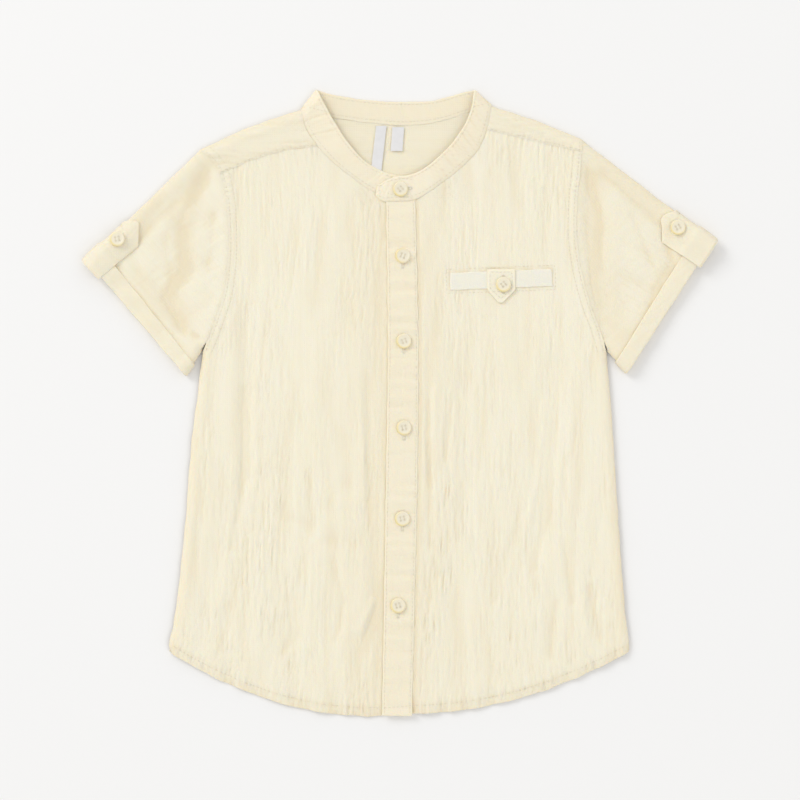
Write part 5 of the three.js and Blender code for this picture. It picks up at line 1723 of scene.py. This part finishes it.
def button_seats():
    """The middle of each button's underside, and the way that it faces."""
    seats = {}
    for name, x, y in FRONT_BUTTONS:
        under = PLACKET_MID + (0.5 if name == "button_collar" else 0)
        seats[name] = (np.array([x, y, under + BAND / 2 - 0.1]), np.array([0.0, 0.0, 1.0]))
    x, y = POCKET_BUTTON
    height = float(pocket_tab_height(np.array([x]), np.array([y]))[0])
    seats["button_pocket"] = (np.array([x, y, height + CLOTH / 2 + 0.25]), np.array([0.0, 0.0, 1.0]))
    for side in SIDES:
        along, inward = (np.array([[TAB[side][key]]], float) for key in ("button_along", "button_in"))
        place, normal = sleeve_place(side, along, inward, np.array([[1.65 + CLOTH / 2 + 0.5]]))
        normal = normal[0, 0] / np.linalg.norm(normal[0, 0]) + [0, 0, 1]
        seats["button_sleeve_" + side] = (place[0, 0], normal / np.linalg.norm(normal))
    return seats


def set_button(mesh, name, place, normal):
    """A button on its seat, turned by chance, with the thread that shows in and between its holes."""
    piece = bpy.data.objects.new(name + "_piece", mesh.copy())
    bpy.context.scene.collection.objects.link(piece)
    tilt = Vector((0, 0, 1)).rotation_difference(Vector(normal)).to_matrix().to_4x4()
    turned = tilt @ Matrix.Rotation(rng.uniform(-0.7, 0.7), 4, "Z")
    piece.data.transform(Matrix.Translation(Vector(place) * MM) @ turned)

    def at(x, y, z):
        return np.array(place) + np.array(turned.to_3x3() @ Vector((x, y, z)))

    plug, sides = lathe([(0, 0.2), (BUTTON_PLUG, 0.2), (BUTTON_PLUG, 1.5), (0, 1.56)], PLUG_SIDES)
    plugs = []
    for sx, sy in HOLE_CORNERS:
        spots = [at(px + sx * BUTTON_HOLE_AT, py + sy * BUTTON_HOLE_AT, pz) for px, py, pz in plug]
        plugs.append(make_object("plug", spots, sides, THREAD))
    starts, ends = ([at(sx * BUTTON_HOLE_AT, sy * BUTTON_HOLE_AT, 1.46) for sx in (-1, 1)] for sy in (-1, 1))
    ups = [np.array(turned.to_3x3() @ Vector((0, 0, 1)))] * 2
    pieces = [
        piece, join(name + "_plugs", plugs),
        capsules(name + "_thread", starts, ends, ups, 1.1, 0.5, THREAD),
    ]
    for made in pieces:
        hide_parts(name)
    return pieces


# The surface, which lies a little under the cloth, and the camera, in metres
SURFACE_HALF = 3
SURFACE_UNDER = 0.0001
CAMERA_LENS = 100
CAMERA_SENSOR = 36
CAMERA_AT = (0, 0.0015, 1.671)


def build_surface():
    """The pale surface that the shirt lies on."""
    mesh = bpy.data.meshes.new("surface")
    corners = [(x * SURFACE_HALF, y * SURFACE_HALF, 0) for x, y in ((-1, -1), (1, -1), (1, 1), (-1, 1))]
    mesh.from_pydata(corners, [], [(0, 1, 2, 3)])
    item = bpy.data.objects.new("surface", mesh)
    item.location.z = -SURFACE_UNDER
    bpy.context.scene.collection.objects.link(item)
    material, _, _, shader = nodes_of("surface")
    shader.inputs["Base Color"].default_value = (0.88, 0.875, 0.865, 1)
    shader.inputs["Roughness"].default_value = 0.9
    shader.inputs["Specular IOR Level"].default_value = 0.1
    mesh.materials.append(material)
    return item


def lamp(name, place, size, energy):
    """A square soft light that faces the middle of the shirt."""
    data = bpy.data.lights.new(name, "AREA")
    data.size = size
    data.energy = energy
    item = bpy.data.objects.new(name, data)
    item.location = place
    item.rotation_euler = (-Vector(place)).to_track_quat("-Z", "Y").to_euler()
    bpy.context.scene.collection.objects.link(item)
    return item


def set_camera():
    """The camera straight above the shirt, as far off as the photograph's frame asks."""
    data = bpy.data.cameras.new("camera")
    data.lens = CAMERA_LENS
    data.sensor_width = CAMERA_SENSOR
    item = bpy.data.objects.new("camera", data)
    item.location = CAMERA_AT
    bpy.context.scene.collection.objects.link(item)
    bpy.context.scene.camera = item


def set_world():
    """Even white light from all round."""
    world = bpy.data.worlds.new("world")
    world.use_nodes = True
    background = world.node_tree.nodes["Background"]
    background.inputs["Color"].default_value = (1, 1, 1, 1)
    background.inputs["Strength"].default_value = 0.77
    bpy.context.scene.world = world
    bpy.context.scene.view_settings.view_transform = "Standard"


cloth = build_cloth()
tree = surface_tree(cloth.values())
pieces = [*cloth.values(), *sew_panels(tree), *sew_trims(tree), sew_buttonholes(tree)]
button = button_mesh()
for name, (place, normal) in button_seats().items():
    pieces += set_button(button, name, place, normal)
for piece in pieces:
    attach(piece, "root")

# The surface, the camera and the light
surface = build_surface()
set_camera()
key = lamp("key", (-3.3, 2.9, 3.1), 2.2, 94)
fill = lamp("fill", (2.4, -1.6, 4.0), 3.5, 34)
set_world()

# What shows of each sheet, laid flat: piece, flat width and length in metres, how it is held,
# what it rests on, and its area in square metres where it isn't a plain strip
SHEETS = [("back", 0.345, 0.40, "laid", "surface", 0.118)]
for side in SIDES:
    SHEETS += [
        ("front_" + side, 0.185, 0.435, "laid", "back", 0.064),
        ("sleeve_" + side, 0.24, 0.125, "laid", "surface", 0.0215),
        ("cuff_" + side, 0.226, 0.018, "folded", "sleeve_" + side, None),
        ("sleeve_tab_" + side, 0.029, 0.058, "folded", "cuff_" + side, None),
    ]
SHEETS += [
    ("yoke", 0.29, 0.09, "folded", "surface", 0.0195),
    ("collar", 0.385, 0.018, "folded", "front_left", None),
    ("placket", 0.023, 0.386, "laid", "front_left", None),
    ("pocket_welt", 0.0765, 0.013, "laid", "front_left", None),
    ("pocket_tab", 0.021, 0.025, "laid", "pocket_welt", None),
]
for label, top, bottom, width in LABELS:
    length = (top[1] - bottom[1]) * MM
    SHEETS.append((label, 0.01, length, "laid", "yoke", width * MM * length))
